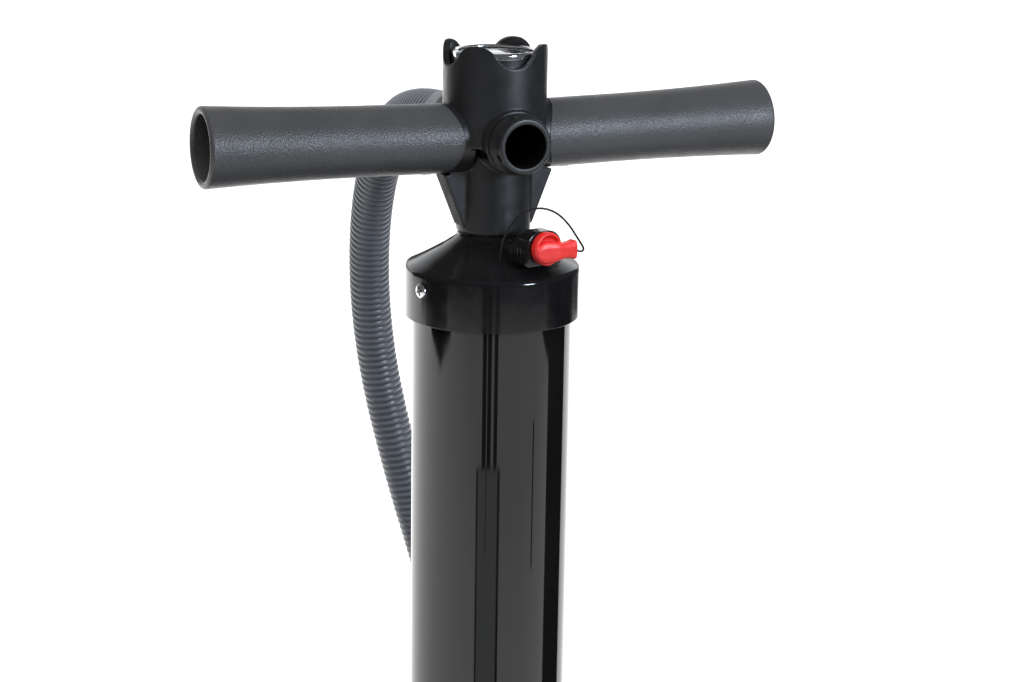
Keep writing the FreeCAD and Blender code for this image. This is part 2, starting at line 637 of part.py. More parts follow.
def grip_spigot():
    """Hub tongue inside the grip, with a hole for the grip screw underneath."""
    tube = rod_along("x", GRIP_BORE_R - 0.05, -12, GRIP_SPIGOT_LENGTH)
    tube = tube.cut(rod_along("x", GRIP_BORE_R - 4, 1, GRIP_SPIGOT_LENGTH + 1))
    return tube.cut(Part.makeCylinder(SCREW_SHANK_R, 30, V(12, 0, -30)))


def grip():
    length = GRIP_END_X - GRIP_START_X
    flare_at = GRIP_FLARE_X - GRIP_START_X
    flare_run = length - flare_at
    flare_rise = GRIP_END_R - GRIP_ROOT_R
    flare_r = (flare_run ** 2 + flare_rise ** 2) / (2 * flare_rise)
    mid_run = flare_run / 2
    mid_r = GRIP_ROOT_R + flare_r - math.sqrt(flare_r ** 2 - mid_run ** 2)
    outer = Part.Arc(V(flare_at, 0, GRIP_ROOT_R), V(flare_at + mid_run, 0, mid_r),
                     V(length, 0, GRIP_END_R))
    lines = [(V(-6, 0, GRIP_BORE_R), V(-6, 0, GRIP_ROOT_R)),
             (V(-6, 0, GRIP_ROOT_R), V(flare_at, 0, GRIP_ROOT_R)),
             (V(length, 0, GRIP_END_R), V(length, 0, 18.0)),
             (V(length, 0, 18.0), V(0, 0, GRIP_BORE_R)),
             (V(0, 0, GRIP_BORE_R), V(-6, 0, GRIP_BORE_R))]
    edges = [outer.toShape()] + [Part.LineSegment(a, b).toShape() for a, b in lines]
    wire = Part.Wire(Part.__sortEdges__(edges))
    solid = Part.Face(wire).revolve(V(0, 0, 0), V(1, 0, 0), 360)
    solid = fillet_near(solid, GRIP_LIP_R, lambda e: e.BoundBox.XMin > length - 0.01)
    solid = solid.cut(Part.makeCylinder(SCREW_SHANK_R, 30, V(12, 0, -30)))
    return solid.cut(Part.makeCylinder(SCREW_HEAD_R + 0.2, 10, V(12, 0, -28.4)))


def grip_screws():
    """One pan-head screw under each grip, near the hub."""
    screws = []
    for side in (-1, 1):
        shank = Part.makeCylinder(SCREW_SHANK_R, 5.0, V(12, 0, -18.4))
        head = Part.makeCylinder(SCREW_HEAD_R, 1.5, V(12, 0, -19.9))
        slot = box((12 - 2.2, -0.4, -20), (12 + 2.2, 0.4, -19.2))
        screws.append(along_grip(side, shank.fuse(head).cut(slot)))
    return Part.makeCompound(screws)


# ---- pressure gauge -----------------------------------------------------------------------
DIAL_Z = RIM_Z + 146.6
NEEDLE_Z = RIM_Z + 148.4
LENS_LOW_Z = RIM_Z + 151.4


def gauge_case():
    case = cylinder(GAUGE_CASE_R, GAUGE_SEAT_Z, LENS_LOW_Z)
    case = case.cut(cylinder(GAUGE_CASE_R - 1.6, GAUGE_SEAT_Z + 2, LENS_LOW_Z + 1))
    return case.cut(cylinder(5, GAUGE_SEAT_Z - 1, GAUGE_SEAT_Z + 3))


def gauge_stem():
    stem = cylinder(5, PORT_Z + BACK_BORE_R + 0.4, GAUGE_SEAT_Z + 2)
    block = box((-6, -6, GAUGE_SEAT_Z + 2), (6, 6, GAUGE_SEAT_Z + 8))
    return stem.fuse(block).cut(cylinder(1.5, PORT_Z, GAUGE_SEAT_Z + 6))


def gauge_seal():
    return ring(9, 5, GAUGE_SEAT_Z - 1.3, GAUGE_SEAT_Z)


def bourdon_tube():
    """C-shaped pressure tube that turns the pointer."""
    centre_z = GAUGE_SEAT_Z + 5
    section = Part.Face(Part.Wire(Part.makeCircle(1.6, V(13, 0, centre_z), V(0, 1, 0))))
    tube = section.revolve(V(0, 0, 0), V(0, 0, 1), 250)
    root = rod_along("x", 1.6, 6, 13, (0, centre_z))
    return tube.fuse(root)


def gauge_movement():
    """Bearing plate on two posts, which carries the pointer's spindle and the dial."""
    plate = ring(12, 1.6, GAUGE_SEAT_Z + 12.5, GAUGE_SEAT_Z + 14)
    posts = [Part.makeCylinder(1.5, 6.5, V(x, x, GAUGE_SEAT_Z + 8)) for x in (-4, 4)]
    high = DIAL_Z - GAUGE_SEAT_Z - 14
    spacers = [Part.makeCylinder(1.5, high, V(x, -x, GAUGE_SEAT_Z + 14)) for x in (-7, 7)]
    return plate.fuse(posts + spacers)


def gauge_dial():
    return ring(GAUGE_CASE_R - 1.8, 2.0, DIAL_Z, DIAL_Z + 0.8)


def gauge_needle():
    spindle = cylinder(1.55, GAUGE_SEAT_Z + 12.7, NEEDLE_Z)
    boss = cylinder(3.0, NEEDLE_Z, NEEDLE_Z + 1.6)
    pointer = face_from([(-7.5, -1.4, NEEDLE_Z + 0.3), (-7.5, 1.4, NEEDLE_Z + 0.3),
                         (0, 0.9, NEEDLE_Z + 0.3), (18, 0.25, NEEDLE_Z + 0.3),
                         (18, -0.25, NEEDLE_Z + 0.3), (0, -0.9, NEEDLE_Z + 0.3)]).extrude(V(0, 0, 0.6))
    return turned(spindle.fuse([boss, pointer]), NEEDLE_REST_DEG)


NEEDLE_REST_DEG = -135.0


def gauge_lens():
    lens = cylinder(GAUGE_CASE_R - 0.9, LENS_LOW_Z, LENS_LOW_Z + 2.4)
    return fillet_near(lens, 0.8, lambda e: e.BoundBox.ZMin > LENS_LOW_Z + 2.3)


def gauge_bezel():
    low_z = LENS_LOW_Z
    bezel = ring(GAUGE_CASE_R + 0.3, GAUGE_CASE_R - 0.9, low_z, GAUGE_RIM_Z)
    lip = ring(GAUGE_CASE_R - 0.5, GAUGE_CASE_R - 3.4, low_z + 2.4, GAUGE_RIM_Z)
    bezel = bezel.fuse(lip)
    return fillet_near(bezel, 0.9, lambda e: circle_edge_at(e, GAUGE_CASE_R + 0.3, GAUGE_RIM_Z))


# ---- hose ---------------------------------------------------------------------------------
NUT_R = 20.0
NUT_START_Y = 34.0
NUT_END_Y = 52.5
NUT_SHOULDER_Y = 48.9
CUFF_R = 15.9
CUFF_FLANGE_R = 17.2
CUFF_START_Y = PORT_TIP_Y + 1.5
CUFF_END_Y = HOSE_ROUTE[0][1]
CONNECTOR_LENGTH = 46.0


def hose_nut():
    nut = rod_along("y", NUT_R, NUT_START_Y, NUT_END_Y, (0, PORT_Z))
    nut = fillet_near(nut, 1.5, lambda e: e.BoundBox.YMin > NUT_END_Y - 0.01)
    nut = nut.cut(rod_along("y", PORT_CREST_R + 0.2, 0, NUT_SHOULDER_Y, (0, PORT_Z)))
    nut = nut.cut(rod_along("y", CUFF_R + RUNNING_GAP, 0, NUT_END_Y + 1, (0, PORT_Z)))
    for index in range(12):
        flute = rod_along("y", 1.6, NUT_START_Y - 1, NUT_END_Y - 3, (NUT_R + 0.8, 0))
        flute.rotate(V(0, 0, 0), V(0, 1, 0), 30 * index)
        flute.translate(V(0, 0, PORT_Z))
        nut = nut.cut(flute)
    return nut


def hose_washer():
    return ring_along_y(PORT_SPIGOT_R - 0.8, BACK_BORE_R, PORT_TIP_Y, CUFF_START_Y, PORT_Z)


def upper_cuff():
    cuff = rod_along("y", CUFF_R, CUFF_START_Y, CUFF_END_Y, (0, PORT_Z))
    cuff = fillet_near(cuff, 1.2, lambda e: e.BoundBox.YMin > CUFF_END_Y - 0.01)
    flange = rod_along("y", CUFF_FLANGE_R, CUFF_START_Y, NUT_SHOULDER_Y - 0.1, (0, PORT_Z))
    return cuff.fuse(flange).cut(rod_along("y", BACK_BORE_R, 0, CUFF_END_Y + 1, (0, PORT_Z)))


def hose():
    path = rounded_path(HOSE_ROUTE, "hose")
    outer = swept(path, HOSE_ROUTE, HOSE_R)
    inner = swept(path, HOSE_ROUTE, HOSE_BORE_R)
    tube = outer.cut(inner)
    expected = math.pi * (HOSE_R ** 2 - HOSE_BORE_R ** 2) * path.Length
    print("hose volume / section x length", round(tube.Volume / expected, 4))
    return tube


def at_hose_end(shape):
    """Place a shape drawn along +X from the hose's lower end."""
    end = V(*HOSE_ROUTE[-1])
    before = V(*HOSE_ROUTE[-2])
    direction = end - before
    placed = shape.copy()
    placed.rotate(V(0, 0, 0), V(0, 0, 1), math.degrees(math.atan2(direction.y, direction.x)))
    placed.translate(end)
    return placed


def lower_cuff():
    cuff = rod_along("x", 13.9, 0, 24)
    cuff = fillet_near(cuff, 1.2, lambda e: e.BoundBox.XMax < 0.01)
    return at_hose_end(cuff.cut(rod_along("x", 9.0, -1, 25)))


def valve_connector():
    body = rod_along("x", 13.6, 24, 24 + 16)
    body = fillet_near(body, 1.0, lambda e: e.BoundBox.XMin > 39.9)
    nozzle = rod_along("x", 9.6, 39, 24 + CONNECTOR_LENGTH)
    lugs = [box((57, -11.6, -2.2), (61, 11.6, 2.2))]
    body = body.fuse([nozzle, rod_along("x", 8.95, 10, 25)] + lugs)
    return at_hose_end(body.cut(rod_along("x", 6.5, 0, 100)))


def connector_ring():
    """Grip ring that turns on the connector's body."""
    collar = rod_along("x", 13.8, 40.3, 47)
    collar = collar.cut(rod_along("x", 9.6 + RUNNING_GAP, 0, 100))
    for index in range(10):
        flute = rod_along("x", 1.2, 40, 48, (14.2, 0))
        flute.rotate(V(0, 0, 0), V(1, 0, 0), 36 * index)
        collar = collar.cut(flute)
    return at_hose_end(collar)


def connector_gasket():
    gasket = rod_along("x", 12.2, 47.3, 50.3).cut(rod_along("x", 9.6, 40, 60))
    return at_hose_end(gasket)


# ---- output -------------------------------------------------------------------------------
def build():
    saddle = cylinder(GRIP_SADDLE_R, RIM_Z + 70, RIM_Z + 140)
    grip_right = along_grip(1, grip()).cut(saddle)
    grip_left = along_grip(-1, grip()).cut(saddle)
    return {
        "barrel_tube": barrel_tube(), "base_plate": base_plate(), "foot_treads": foot_treads(),
        "base_feet": base_feet(), "base_screws": base_screws(), "base_seal": base_seal(),
        "bottom_bumper": bottom_bumper(), "top_cap": top_cap(), "cap_seal": cap_seal(),
        "cap_screws": cap_screws(), "rod_seal": rod_seal(), "seal_retainer": seal_retainer(),
        "rod_bush": rod_bush(), "relief_plug": relief_plug(), "plug_seal": plug_seal(),
        "tether": tether(), "piston_rod": piston_rod(), "air_tube": air_tube(),
        "piston_lower": piston_lower(), "piston_upper": piston_upper(), "piston_seal": piston_seal(),
        "piston_spacer": piston_spacer(), "lower_flap": lower_flap(), "upper_flap": upper_flap(),
        "top_bumper": top_bumper(), "handle_hub": handle_hub(), "rod_screw": rod_screw(),
        "grip_left": grip_left, "grip_right": grip_right, "grip_screws": grip_screws(),
        "gauge_case": gauge_case(), "gauge_stem": gauge_stem(), "gauge_seal": gauge_seal(),
        "bourdon_tube": bourdon_tube(), "gauge_movement": gauge_movement(),
        "gauge_dial": gauge_dial(), "gauge_needle": gauge_needle(), "gauge_lens": gauge_lens(),
        "gauge_bezel": gauge_bezel(), "hose_nut": hose_nut(), "hose_washer": hose_washer(),
        "upper_cuff": upper_cuff(), "hose": hose(), "lower_cuff": lower_cuff(),
        "valve_connector": valve_connector(), "connector_ring": connector_ring(),
        "connector_gasket": connector_gasket(),
    }


os.makedirs("parts", exist_ok=True)
for node, shape in build().items():
    if not shape.isValid() or shape.Volume <= 0:
        print("PROBLEM", node, "valid", shape.isValid(), "volume", shape.Volume)
    shape.exportStep("parts/" + node + ".step")
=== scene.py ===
import math

import bmesh
import bpy
from mathutils import Matrix, Vector


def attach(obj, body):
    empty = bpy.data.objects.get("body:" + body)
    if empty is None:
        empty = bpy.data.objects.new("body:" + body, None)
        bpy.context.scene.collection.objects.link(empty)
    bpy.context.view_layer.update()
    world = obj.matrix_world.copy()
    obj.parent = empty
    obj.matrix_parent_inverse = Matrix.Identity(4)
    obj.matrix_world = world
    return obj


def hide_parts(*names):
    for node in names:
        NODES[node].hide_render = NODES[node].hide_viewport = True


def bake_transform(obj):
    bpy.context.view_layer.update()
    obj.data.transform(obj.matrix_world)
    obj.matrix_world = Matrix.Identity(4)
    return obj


# Stand-up hand pump. Shapes are written in millimetres and scaled to metres when a mesh is made; the
# materials' grain sizes and the studio's cards are in metres. The pump's axis is x = y = 0, the floor
# is z = 0, the open port faces -Y and the hose leaves to +Y.

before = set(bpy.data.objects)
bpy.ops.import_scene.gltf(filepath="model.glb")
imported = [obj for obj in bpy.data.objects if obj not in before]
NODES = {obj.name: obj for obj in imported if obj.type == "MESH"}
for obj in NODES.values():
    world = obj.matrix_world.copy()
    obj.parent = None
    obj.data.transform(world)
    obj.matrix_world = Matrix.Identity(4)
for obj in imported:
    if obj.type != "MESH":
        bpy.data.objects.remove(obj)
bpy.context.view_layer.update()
MM = 0.001
RIM_Z = 456.0
PORT_Z = RIM_Z + 105.6
PORT_BORE_R = 12.2
GRIP_BORE_R = 17.4
GRIP_BORE_MIDDLE_Z = RIM_Z + 107.4


# ---- camera -------------------------------------------------------------------------------
CAMERA_PLACE = Vector((-481.10, -1093.09, RIM_Z + 300.28))
CAMERA_FORWARD = Vector((0.39808, 0.88065, -0.25689))
CAMERA_ROLL = 0.94
CAMERA_LENS = 73.55


def make_camera():
    data = bpy.data.cameras.new("camera")
    data.lens = CAMERA_LENS
    data.sensor_width = 36.0
    data.clip_end = 60.0
    forward = CAMERA_FORWARD.normalized()
    level = Vector((forward.y, -forward.x, 0.0)).normalized()
    roll = math.radians(CAMERA_ROLL)
    above = level.cross(forward)
    right = level * math.cos(roll) + above * math.sin(roll)
    up = above * math.cos(roll) - level * math.sin(roll)
    turn = Matrix((right, up, -forward)).transposed()
    camera = bpy.data.objects.new("camera", data)
    bpy.context.scene.collection.objects.link(camera)
    camera.matrix_world = Matrix.Translation(CAMERA_PLACE * MM) @ turn.to_4x4()
    bpy.context.scene.camera = camera


make_camera()


# ---- materials ----------------------------------------------------------------------------
# Painted shade for the hose's grooves between the ribs.
GROOVE_SHADE_COLOR = (0.03, 0.034, 0.041)
# Painted shade: near-black for the insides of bores and for undercut flanks.
UNLIT_COLOR = (0.0012, 0.0012, 0.0014)


def noise(tree, place, size, detail=3.0, roughness=0.5):
    """Noise in object space whose patches are about size metres across."""
    node = tree.nodes.new("ShaderNodeTexNoise")
    node.inputs["Scale"].default_value = 1.0 / size
    node.inputs["Detail"].default_value = detail
    node.inputs["Roughness"].default_value = roughness
    tree.links.new(place, node.inputs["Vector"])
    return node.outputs["Fac"]


def remap(tree, value, low, high, start=0.35, end=0.65):
    """Runs from low to high while value runs from start to end."""
    node = tree.nodes.new("ShaderNodeMapRange")
    node.inputs["From Min"].default_value = start
    node.inputs["From Max"].default_value = end
    node.inputs["To Min"].default_value = low
    node.inputs["To Max"].default_value = high
    tree.links.new(value, node.inputs["Value"])
    return node.outputs["Result"]


def blend_colors(tree, factor, first, second):
    """The first colour where factor is 0 and the second where it is 1; each a tuple or a socket."""
    node = tree.nodes.new("ShaderNodeMix")
    node.data_type = "RGBA"
    tree.links.new(factor, node.inputs["Factor"])
    for socket, value in zip((node.inputs[6], node.inputs[7]), (first, second)):
        if isinstance(value, tuple):
            socket.default_value = (*value, 1.0)
        else:
            tree.links.new(value, socket)
    return node.outputs[2]


def combine(tree, operation, first, second):
    """A maths operation on two sockets."""
    node = tree.nodes.new("ShaderNodeMath")
    node.operation = operation
    tree.links.new(first, node.inputs[0])
    tree.links.new(second, node.inputs[1])
    return node.outputs["Value"]


def bump(tree, height, depth, before=None):
    node = tree.nodes.new("ShaderNodeBump")
    node.inputs["Strength"].default_value = 1.0
    node.inputs["Distance"].default_value = depth
    tree.links.new(height, node.inputs["Height"])
    if before is not None:
        tree.links.new(before, node.inputs["Normal"])
    return node.outputs["Normal"]


def moulded(name, color, second, rough, grain, grain_depth, patch=0.03, wave_depth=0.0, **constants):
    """Plastic, rubber or metal with uneven colour and gloss, a fine grain and slow waves."""
    material = bpy.data.materials.new(name)
    material.use_nodes = True
    tree = material.node_tree
    shader = tree.nodes["Principled BSDF"]
    place = tree.nodes.new("ShaderNodeTexCoord").outputs["Object"]
    patches = noise(tree, place, patch)
    tree.links.new(blend_colors(tree, remap(tree, patches, 0, 1), color, second), shader.inputs["Base Color"])
    tree.links.new(remap(tree, noise(tree, place, patch * 0.37, 5.0), *rough), shader.inputs["Roughness"])
    normal = bump(tree, noise(tree, place, grain, 2.0), grain_depth)
    if wave_depth:
        normal = bump(tree, noise(tree, place, patch, 1.0), wave_depth, normal)
    tree.links.new(normal, shader.inputs["Normal"])
    for socket, value in constants.items():
        shader.inputs[socket.replace("_", " ")].default_value = value
    return material


def grained(name, color, second, rough, cell, depth, **constants):
    """Moulded plastic with a spark-eroded grain of small raised cells."""
    material = moulded(name, color, second, rough, cell * 0.6, depth * 0.5, **constants)
    tree = material.node_tree
    shader = tree.nodes["Principled BSDF"]
    place = tree.nodes["Texture Coordinate"].outputs["Object"]
    cells = tree.nodes.new("ShaderNodeTexVoronoi")
    cells.feature = "SMOOTH_F1"
    cells.inputs["Scale"].default_value = 1.0 / cell
    cells.inputs["Smoothness"].default_value = 0.6
    tree.links.new(place, cells.inputs["Vector"])
    before = shader.inputs["Normal"].links[0].from_socket
    tree.links.new(bump(tree, cells.outputs["Distance"], depth, before), shader.inputs["Normal"])
    return material


def ribbed_hose_material():
    """Blue-grey hose plastic, with painted shade that darkens the grooves between the ribs and leaves the
    crests paler.
    """
    material = moulded("hose_grey", (0.082, 0.092, 0.110), (0.094, 0.105, 0.124), (0.32, 0.44),
                       0.0012, 0.00004, patch=0.05, Sheen_Weight=0.35, Sheen_Roughness=0.35)
    tree = material.node_tree
    shader = tree.nodes["Principled BSDF"]
    crest = tree.nodes.new("ShaderNodeAttribute")
    crest.attribute_name = "crest"
    flat = shader.inputs["Base Color"].links[0].from_socket
    # Painted shade: the base colour darkens in the grooves between the ribs.
    groove_shaded = blend_colors(tree, crest.outputs["Fac"], GROOVE_SHADE_COLOR, flat)
    tree.links.new(groove_shaded, shader.inputs["Base Color"])
    return material


def shade_recesses(material, across, height, radius, flanks=0.0):
    """Painted shade: dead black, with the specular turned down, inside a level bore and, where flanks is 1,
    on undercut sides facing along X.

    across is 1 on the two axes across the bore; height and radius are the bore's, in metres.
    """
    tree = material.node_tree
    shader = tree.nodes["Principled BSDF"]
    place = tree.nodes["Texture Coordinate"]
    off_axis = tree.nodes.new("ShaderNodeVectorMath")
    off_axis.operation = "MULTIPLY_ADD"
    off_axis.inputs[1].default_value = across
    off_axis.inputs[2].default_value = (0.0, 0.0, -height)
    tree.links.new(place.outputs["Object"], off_axis.inputs[0])
    reach = tree.nodes.new("ShaderNodeVectorMath")
    reach.operation = "LENGTH"
    tree.links.new(off_axis.outputs["Vector"], reach.inputs[0])
    bore = remap(tree, reach.outputs["Value"], 1.0, 0.0, radius, radius + 0.0006)
    facing = tree.nodes.new("ShaderNodeSeparateXYZ")
    tree.links.new(place.outputs["Normal"], facing.inputs[0])
    under = remap(tree, facing.outputs["Z"], flanks, 0.0, -0.30, -0.15)
    sideways = tree.nodes.new("ShaderNodeMath")
    sideways.operation = "ABSOLUTE"
    tree.links.new(facing.outputs["X"], sideways.inputs[0])
    flank = remap(tree, sideways.outputs["Value"], 0.0, 1.0, 0.75, 0.88)
    # Where painted shade goes: the bore, and the undercut flanks when flanks is 1.
    painted_shade = combine(tree, "MAXIMUM", bore, combine(tree, "MULTIPLY", under, flank))
    flat = shader.inputs["Base Color"].links[0].from_socket
    tree.links.new(blend_colors(tree, painted_shade, flat, UNLIT_COLOR), shader.inputs["Base Color"])
    # The specular drops under the painted shade, so no reflection shows there.
    gloss = shader.inputs["Specular IOR Level"].default_value
    tree.links.new(remap(tree, painted_shade, gloss, 0.02, 0.0, 1.0), shader.inputs["Specular IOR Level"])


def lens_material():
    material = moulded("lens_clear", (0.95, 0.97, 0.97), (1.0, 1.0, 1.0), (0.02, 0.06), 0.004, 0.000004)
    shader = material.node_tree.nodes["Principled BSDF"]
    shader.inputs["Transmission Weight"].default_value = 1.0
    shader.inputs["IOR"].default_value = 1.49
    return material


BARREL = moulded("barrel_gloss", (0.0042, 0.0041, 0.0038), (0.006, 0.0058, 0.0054), (0.035, 0.075),
                 0.006, 0.0000016, patch=0.09, wave_depth=0.000025, Specular_IOR_Level=0.5)
CAP = moulded("cap_gloss", (0.0045, 0.0045, 0.0048), (0.007, 0.007, 0.0073), (0.09, 0.16),
              0.0008, 0.000006, patch=0.03, wave_depth=0.00002, Specular_IOR_Level=0.42)
HUB = grained("hub_satin", (0.0065, 0.0068, 0.0076), (0.0095, 0.0099, 0.011), (0.34, 0.44),
              0.0005, 0.000012, patch=0.02, Specular_IOR_Level=0.42)
GRIP = grained("grip_grain", (0.034, 0.034, 0.035), (0.040, 0.040, 0.041), (0.36, 0.44),
               0.0009, 0.00018, patch=0.03, Specular_IOR_Level=0.5)
PLUG = moulded("plug_red", (0.56, 0.010, 0.008), (0.63, 0.017, 0.013), (0.36, 0.46),
               0.0006, 0.000008, patch=0.006, wave_depth=0.00003, Specular_IOR_Level=0.5)
HOSE = ribbed_hose_material()
CUFF = moulded("fitting_grey", (0.085, 0.093, 0.105), (0.10, 0.108, 0.12), (0.34, 0.46),
               0.0007, 0.00002, patch=0.012)
NUT = grained("nut_black", (0.012, 0.0125, 0.014), (0.016, 0.0165, 0.018), (0.36, 0.48), 0.0006, 0.00002)
TETHER = moulded("tether_nylon", (0.004, 0.004, 0.004), (0.007, 0.007, 0.007), (0.45, 0.6), 0.0005, 0.00001,
                 Specular_IOR_Level=0.25)
BASE = grained("base_grain", (0.011, 0.011, 0.012), (0.015, 0.015, 0.016), (0.42, 0.56),
               0.0011, 0.00007, patch=0.03)
RUBBER = moulded("black_rubber", (0.012, 0.012, 0.012), (0.02, 0.02, 0.019), (0.62, 0.8), 0.0007, 0.00004)
STEEL = moulded("zinc_steel", (0.60, 0.60, 0.61), (0.68, 0.68, 0.69), (0.18, 0.32), 0.0004, 0.000006,
                patch=0.003, Metallic=1.0)
BLACK_SCREW = moulded("black_screw", (0.02, 0.02, 0.021), (0.03, 0.03, 0.031), (0.3, 0.42), 0.0004, 0.000006,
                      patch=0.003)
CHROME = moulded("bezel_chrome", (0.80, 0.80, 0.81), (0.88, 0.88, 0.89), (0.08, 0.18), 0.0006, 0.000006,
                 patch=0.004, Metallic=1.0)
ROD = moulded("rod_metal", (0.66, 0.67, 0.69), (0.74, 0.75, 0.77), (0.16, 0.28), 0.0006, 0.000004,
              patch=0.02, Metallic=1.0)
BRASS = moulded("gauge_brass", (0.60, 0.42, 0.15), (0.68, 0.50, 0.2), (0.22, 0.36), 0.0005, 0.000006,
                patch=0.004, Metallic=1.0)
WHITE = moulded("white_plastic", (0.68, 0.68, 0.65), (0.74, 0.74, 0.71), (0.38, 0.5), 0.0008, 0.00002)
CASE = moulded("gauge_case", (0.010, 0.010, 0.011), (0.014, 0.014, 0.015), (0.25, 0.36), 0.0006, 0.00001)
DIAL = moulded("dial_white", (0.80, 0.80, 0.78), (0.86, 0.86, 0.84), (0.4, 0.5), 0.0006, 0.000004)
INK = moulded("dial_ink", (0.01, 0.01, 0.01), (0.018, 0.018, 0.018), (0.4, 0.5), 0.0004, 0.000002)
LENS = lens_material()
# Painted shade: black in the hub's port bore and on its downward-tilted sides facing along X, and inside the
# grips' bores.
shade_recesses(HUB, (1.0, 0.0, 1.0), PORT_Z * MM, PORT_BORE_R * MM, flanks=1.0)
shade_recesses(GRIP, (0.0, 1.0, 1.0), GRIP_BORE_MIDDLE_Z * MM, (GRIP_BORE_R - 0.2) * MM)

CAD_MATERIALS = {
    RUBBER: ["base_seal", "bottom_bumper", "cap_seal", "rod_seal", "plug_seal", "piston_seal", "lower_flap",
             "upper_flap", "top_bumper", "gauge_seal", "hose_washer", "connector_gasket"],
    WHITE: ["seal_retainer", "rod_bush", "piston_lower", "piston_upper", "piston_spacer"],
    STEEL: ["rod_screw", "grip_screws"],
    ROD: ["air_tube"],
    CASE: ["gauge_case", "gauge_needle"],
    BRASS: ["gauge_stem", "bourdon_tube", "gauge_movement"],
}


# ---- mesh helpers -------------------------------------------------------------------------
BOX_FACES = [(0, 1, 2, 3), (4, 5, 6, 7), (0, 1, 5, 4), (1, 2, 6, 5), (2, 3, 7, 6), (3, 0, 4, 7)]


def add_piece(name, mesh, material, body=None, stands_for=()):
    """A shown piece, riding on a body and standing for the CAD nodes it replaces."""
    piece = bpy.data.objects.new(name, mesh)
    bpy.context.scene.collection.objects.link(piece)
    mesh.materials.clear()
    mesh.materials.append(material)
    if body:
        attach(piece, body)
    if stands_for:
        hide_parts(*stands_for)
    return piece


def shade(mesh, sharp_deg=35.0):
    """Smooth shading, broken where two faces meet at more than sharp_deg."""
    work = bmesh.new()
    work.from_mesh(mesh)
    for face in work.faces:
        face.smooth = True
    limit = math.radians(sharp_deg)
    for edge in work.edges:
        edge.smooth = len(edge.link_faces) == 2 and edge.calc_face_angle(0.0) < limit
    work.to_mesh(mesh)
    work.free()
    return mesh


def mesh_from(name, points, faces, place=Matrix.Identity(4)):
    """Mesh from points in millimetres, moved by place (also in millimetres)."""
    mesh = bpy.data.meshes.new(name)
    mesh.from_pydata([tuple((place @ Vector(p)) * MM) for p in points], [], faces)
    work = bmesh.new()
    work.from_mesh(mesh)
    bmesh.ops.recalc_face_normals(work, faces=work.faces[:])
    work.to_mesh(mesh)
    work.free()
    return mesh


def rounded(corners, steps=6):
    """Outline through (a, b, radius) corners, each rounded with its radius."""
    outline = []
    count = len(corners)
    for index, (a, b, radius) in enumerate(corners):
        here = Vector((a, b))
        before = (Vector(corners[index - 1][:2]) - here).normalized()
        after = (Vector(corners[(index + 1) % count][:2]) - here).normalized()
        turn = math.pi - before.angle(after)
        if radius <= 0 or turn < 0.02:
            outline.append(tuple(here))
            continue
        reach = radius * math.tan(turn / 2)
        centre = here + (before + after).normalized() * (radius / math.cos(turn / 2))
        start = here + before * reach - centre
        end = here + after * reach - centre
        sweep = start.angle_signed(end)
        for step in range(steps + 1):
            angle = -sweep * step / steps
            x = start.x * math.cos(angle) - start.y * math.sin(angle)
            y = start.x * math.sin(angle) + start.y * math.cos(angle)
            outline.append((centre.x + x, centre.y + y))
    return outline


def braced(outline, closed):
    """The outline with a point near both ends of each long run, which keeps smooth shading at corners."""
    near = 0.25
    result = []
    for index, (r, z) in enumerate(outline):
        result.append((r, z))
        if index + 1 == len(outline) and not closed:
            break
        next_r, next_z = outline[(index + 1) % len(outline)]
        length = math.hypot(next_r - r, next_z - z)
        if length > 2.0:
            result += [(r + (next_r - r) * share, z + (next_z - z) * share)
                       for share in (near / length, 1 - near / length)]
    return result


def lathe(name, outline, segments=128, place=Matrix.Identity(4)):
    """Closed (radius, height) outline turned about Z."""
    outline = braced(outline, True)
    points = []
    for step in range(segments):
        angle = 2 * math.pi * step / segments
        points += [(r * math.cos(angle), r * math.sin(angle), z) for r, z in outline]
    count = len(outline)
    faces = []
    for step in range(segments):
        a, b = step * count, (step + 1) % segments * count
        for index in range(count):
            after = (index + 1) % count
            faces.append((a + index, b + index, b + after, a + after))
    return mesh_from(name, points, faces, place)


def disc_lathe(name, outline, segments=96, place=Matrix.Identity(4)):
    """Open outline that starts and ends on the axis, turned about Z."""
    outline = braced(outline, False)
    inner = outline[1:-1]
    points = [(0, 0, outline[0][1]), (0, 0, outline[-1][1])]
    for step in range(segments):
        angle = 2 * math.pi * step / segments
        points += [(r * math.cos(angle), r * math.sin(angle), z) for r, z in inner]
    count = len(inner)
    faces = []
    for step in range(segments):
        a, b = 2 + step * count, 2 + (step + 1) % segments * count
        faces += [(a + i, b + i, b + i + 1, a + i + 1) for i in range(count - 1)]
        faces += [(0, b, a), (1, a + count - 1, b + count - 1)]
    return mesh_from(name, points, faces, place)


def loft_faces(rings, count):
    """Faces of a closed body whose skin runs through rings of count points each."""
    total = rings * count
    faces = [tuple(range(count)), tuple(range(total - 1, total - count - 1, -1))]
    for ring in range(rings - 1):
        for index in range(count):
            a, b = ring * count + index, ring * count + (index + 1) % count
            faces.append((a, b, b + count, a + count))
    return faces


def joined(name, meshes):
    work = bmesh.new()
    for mesh in meshes:
        work.from_mesh(mesh)
    result = bpy.data.meshes.new(name)
    work.to_mesh(result)
    work.free()
    return result


def evaluated(mesh, *modifiers):
    """The mesh after modifiers, each (type, {setting: value})."""
    holder = bpy.data.objects.new("holder", mesh)
    bpy.context.scene.collection.objects.link(holder)
    for kind, settings in modifiers:
        modifier = holder.modifiers.new(kind, kind)
        for key, value in settings.items():
            setattr(modifier, key, value)
    graph = bpy.context.evaluated_depsgraph_get()
    result = bpy.data.meshes.new_from_object(holder.evaluated_get(graph))
    bpy.data.objects.remove(holder)
    return result


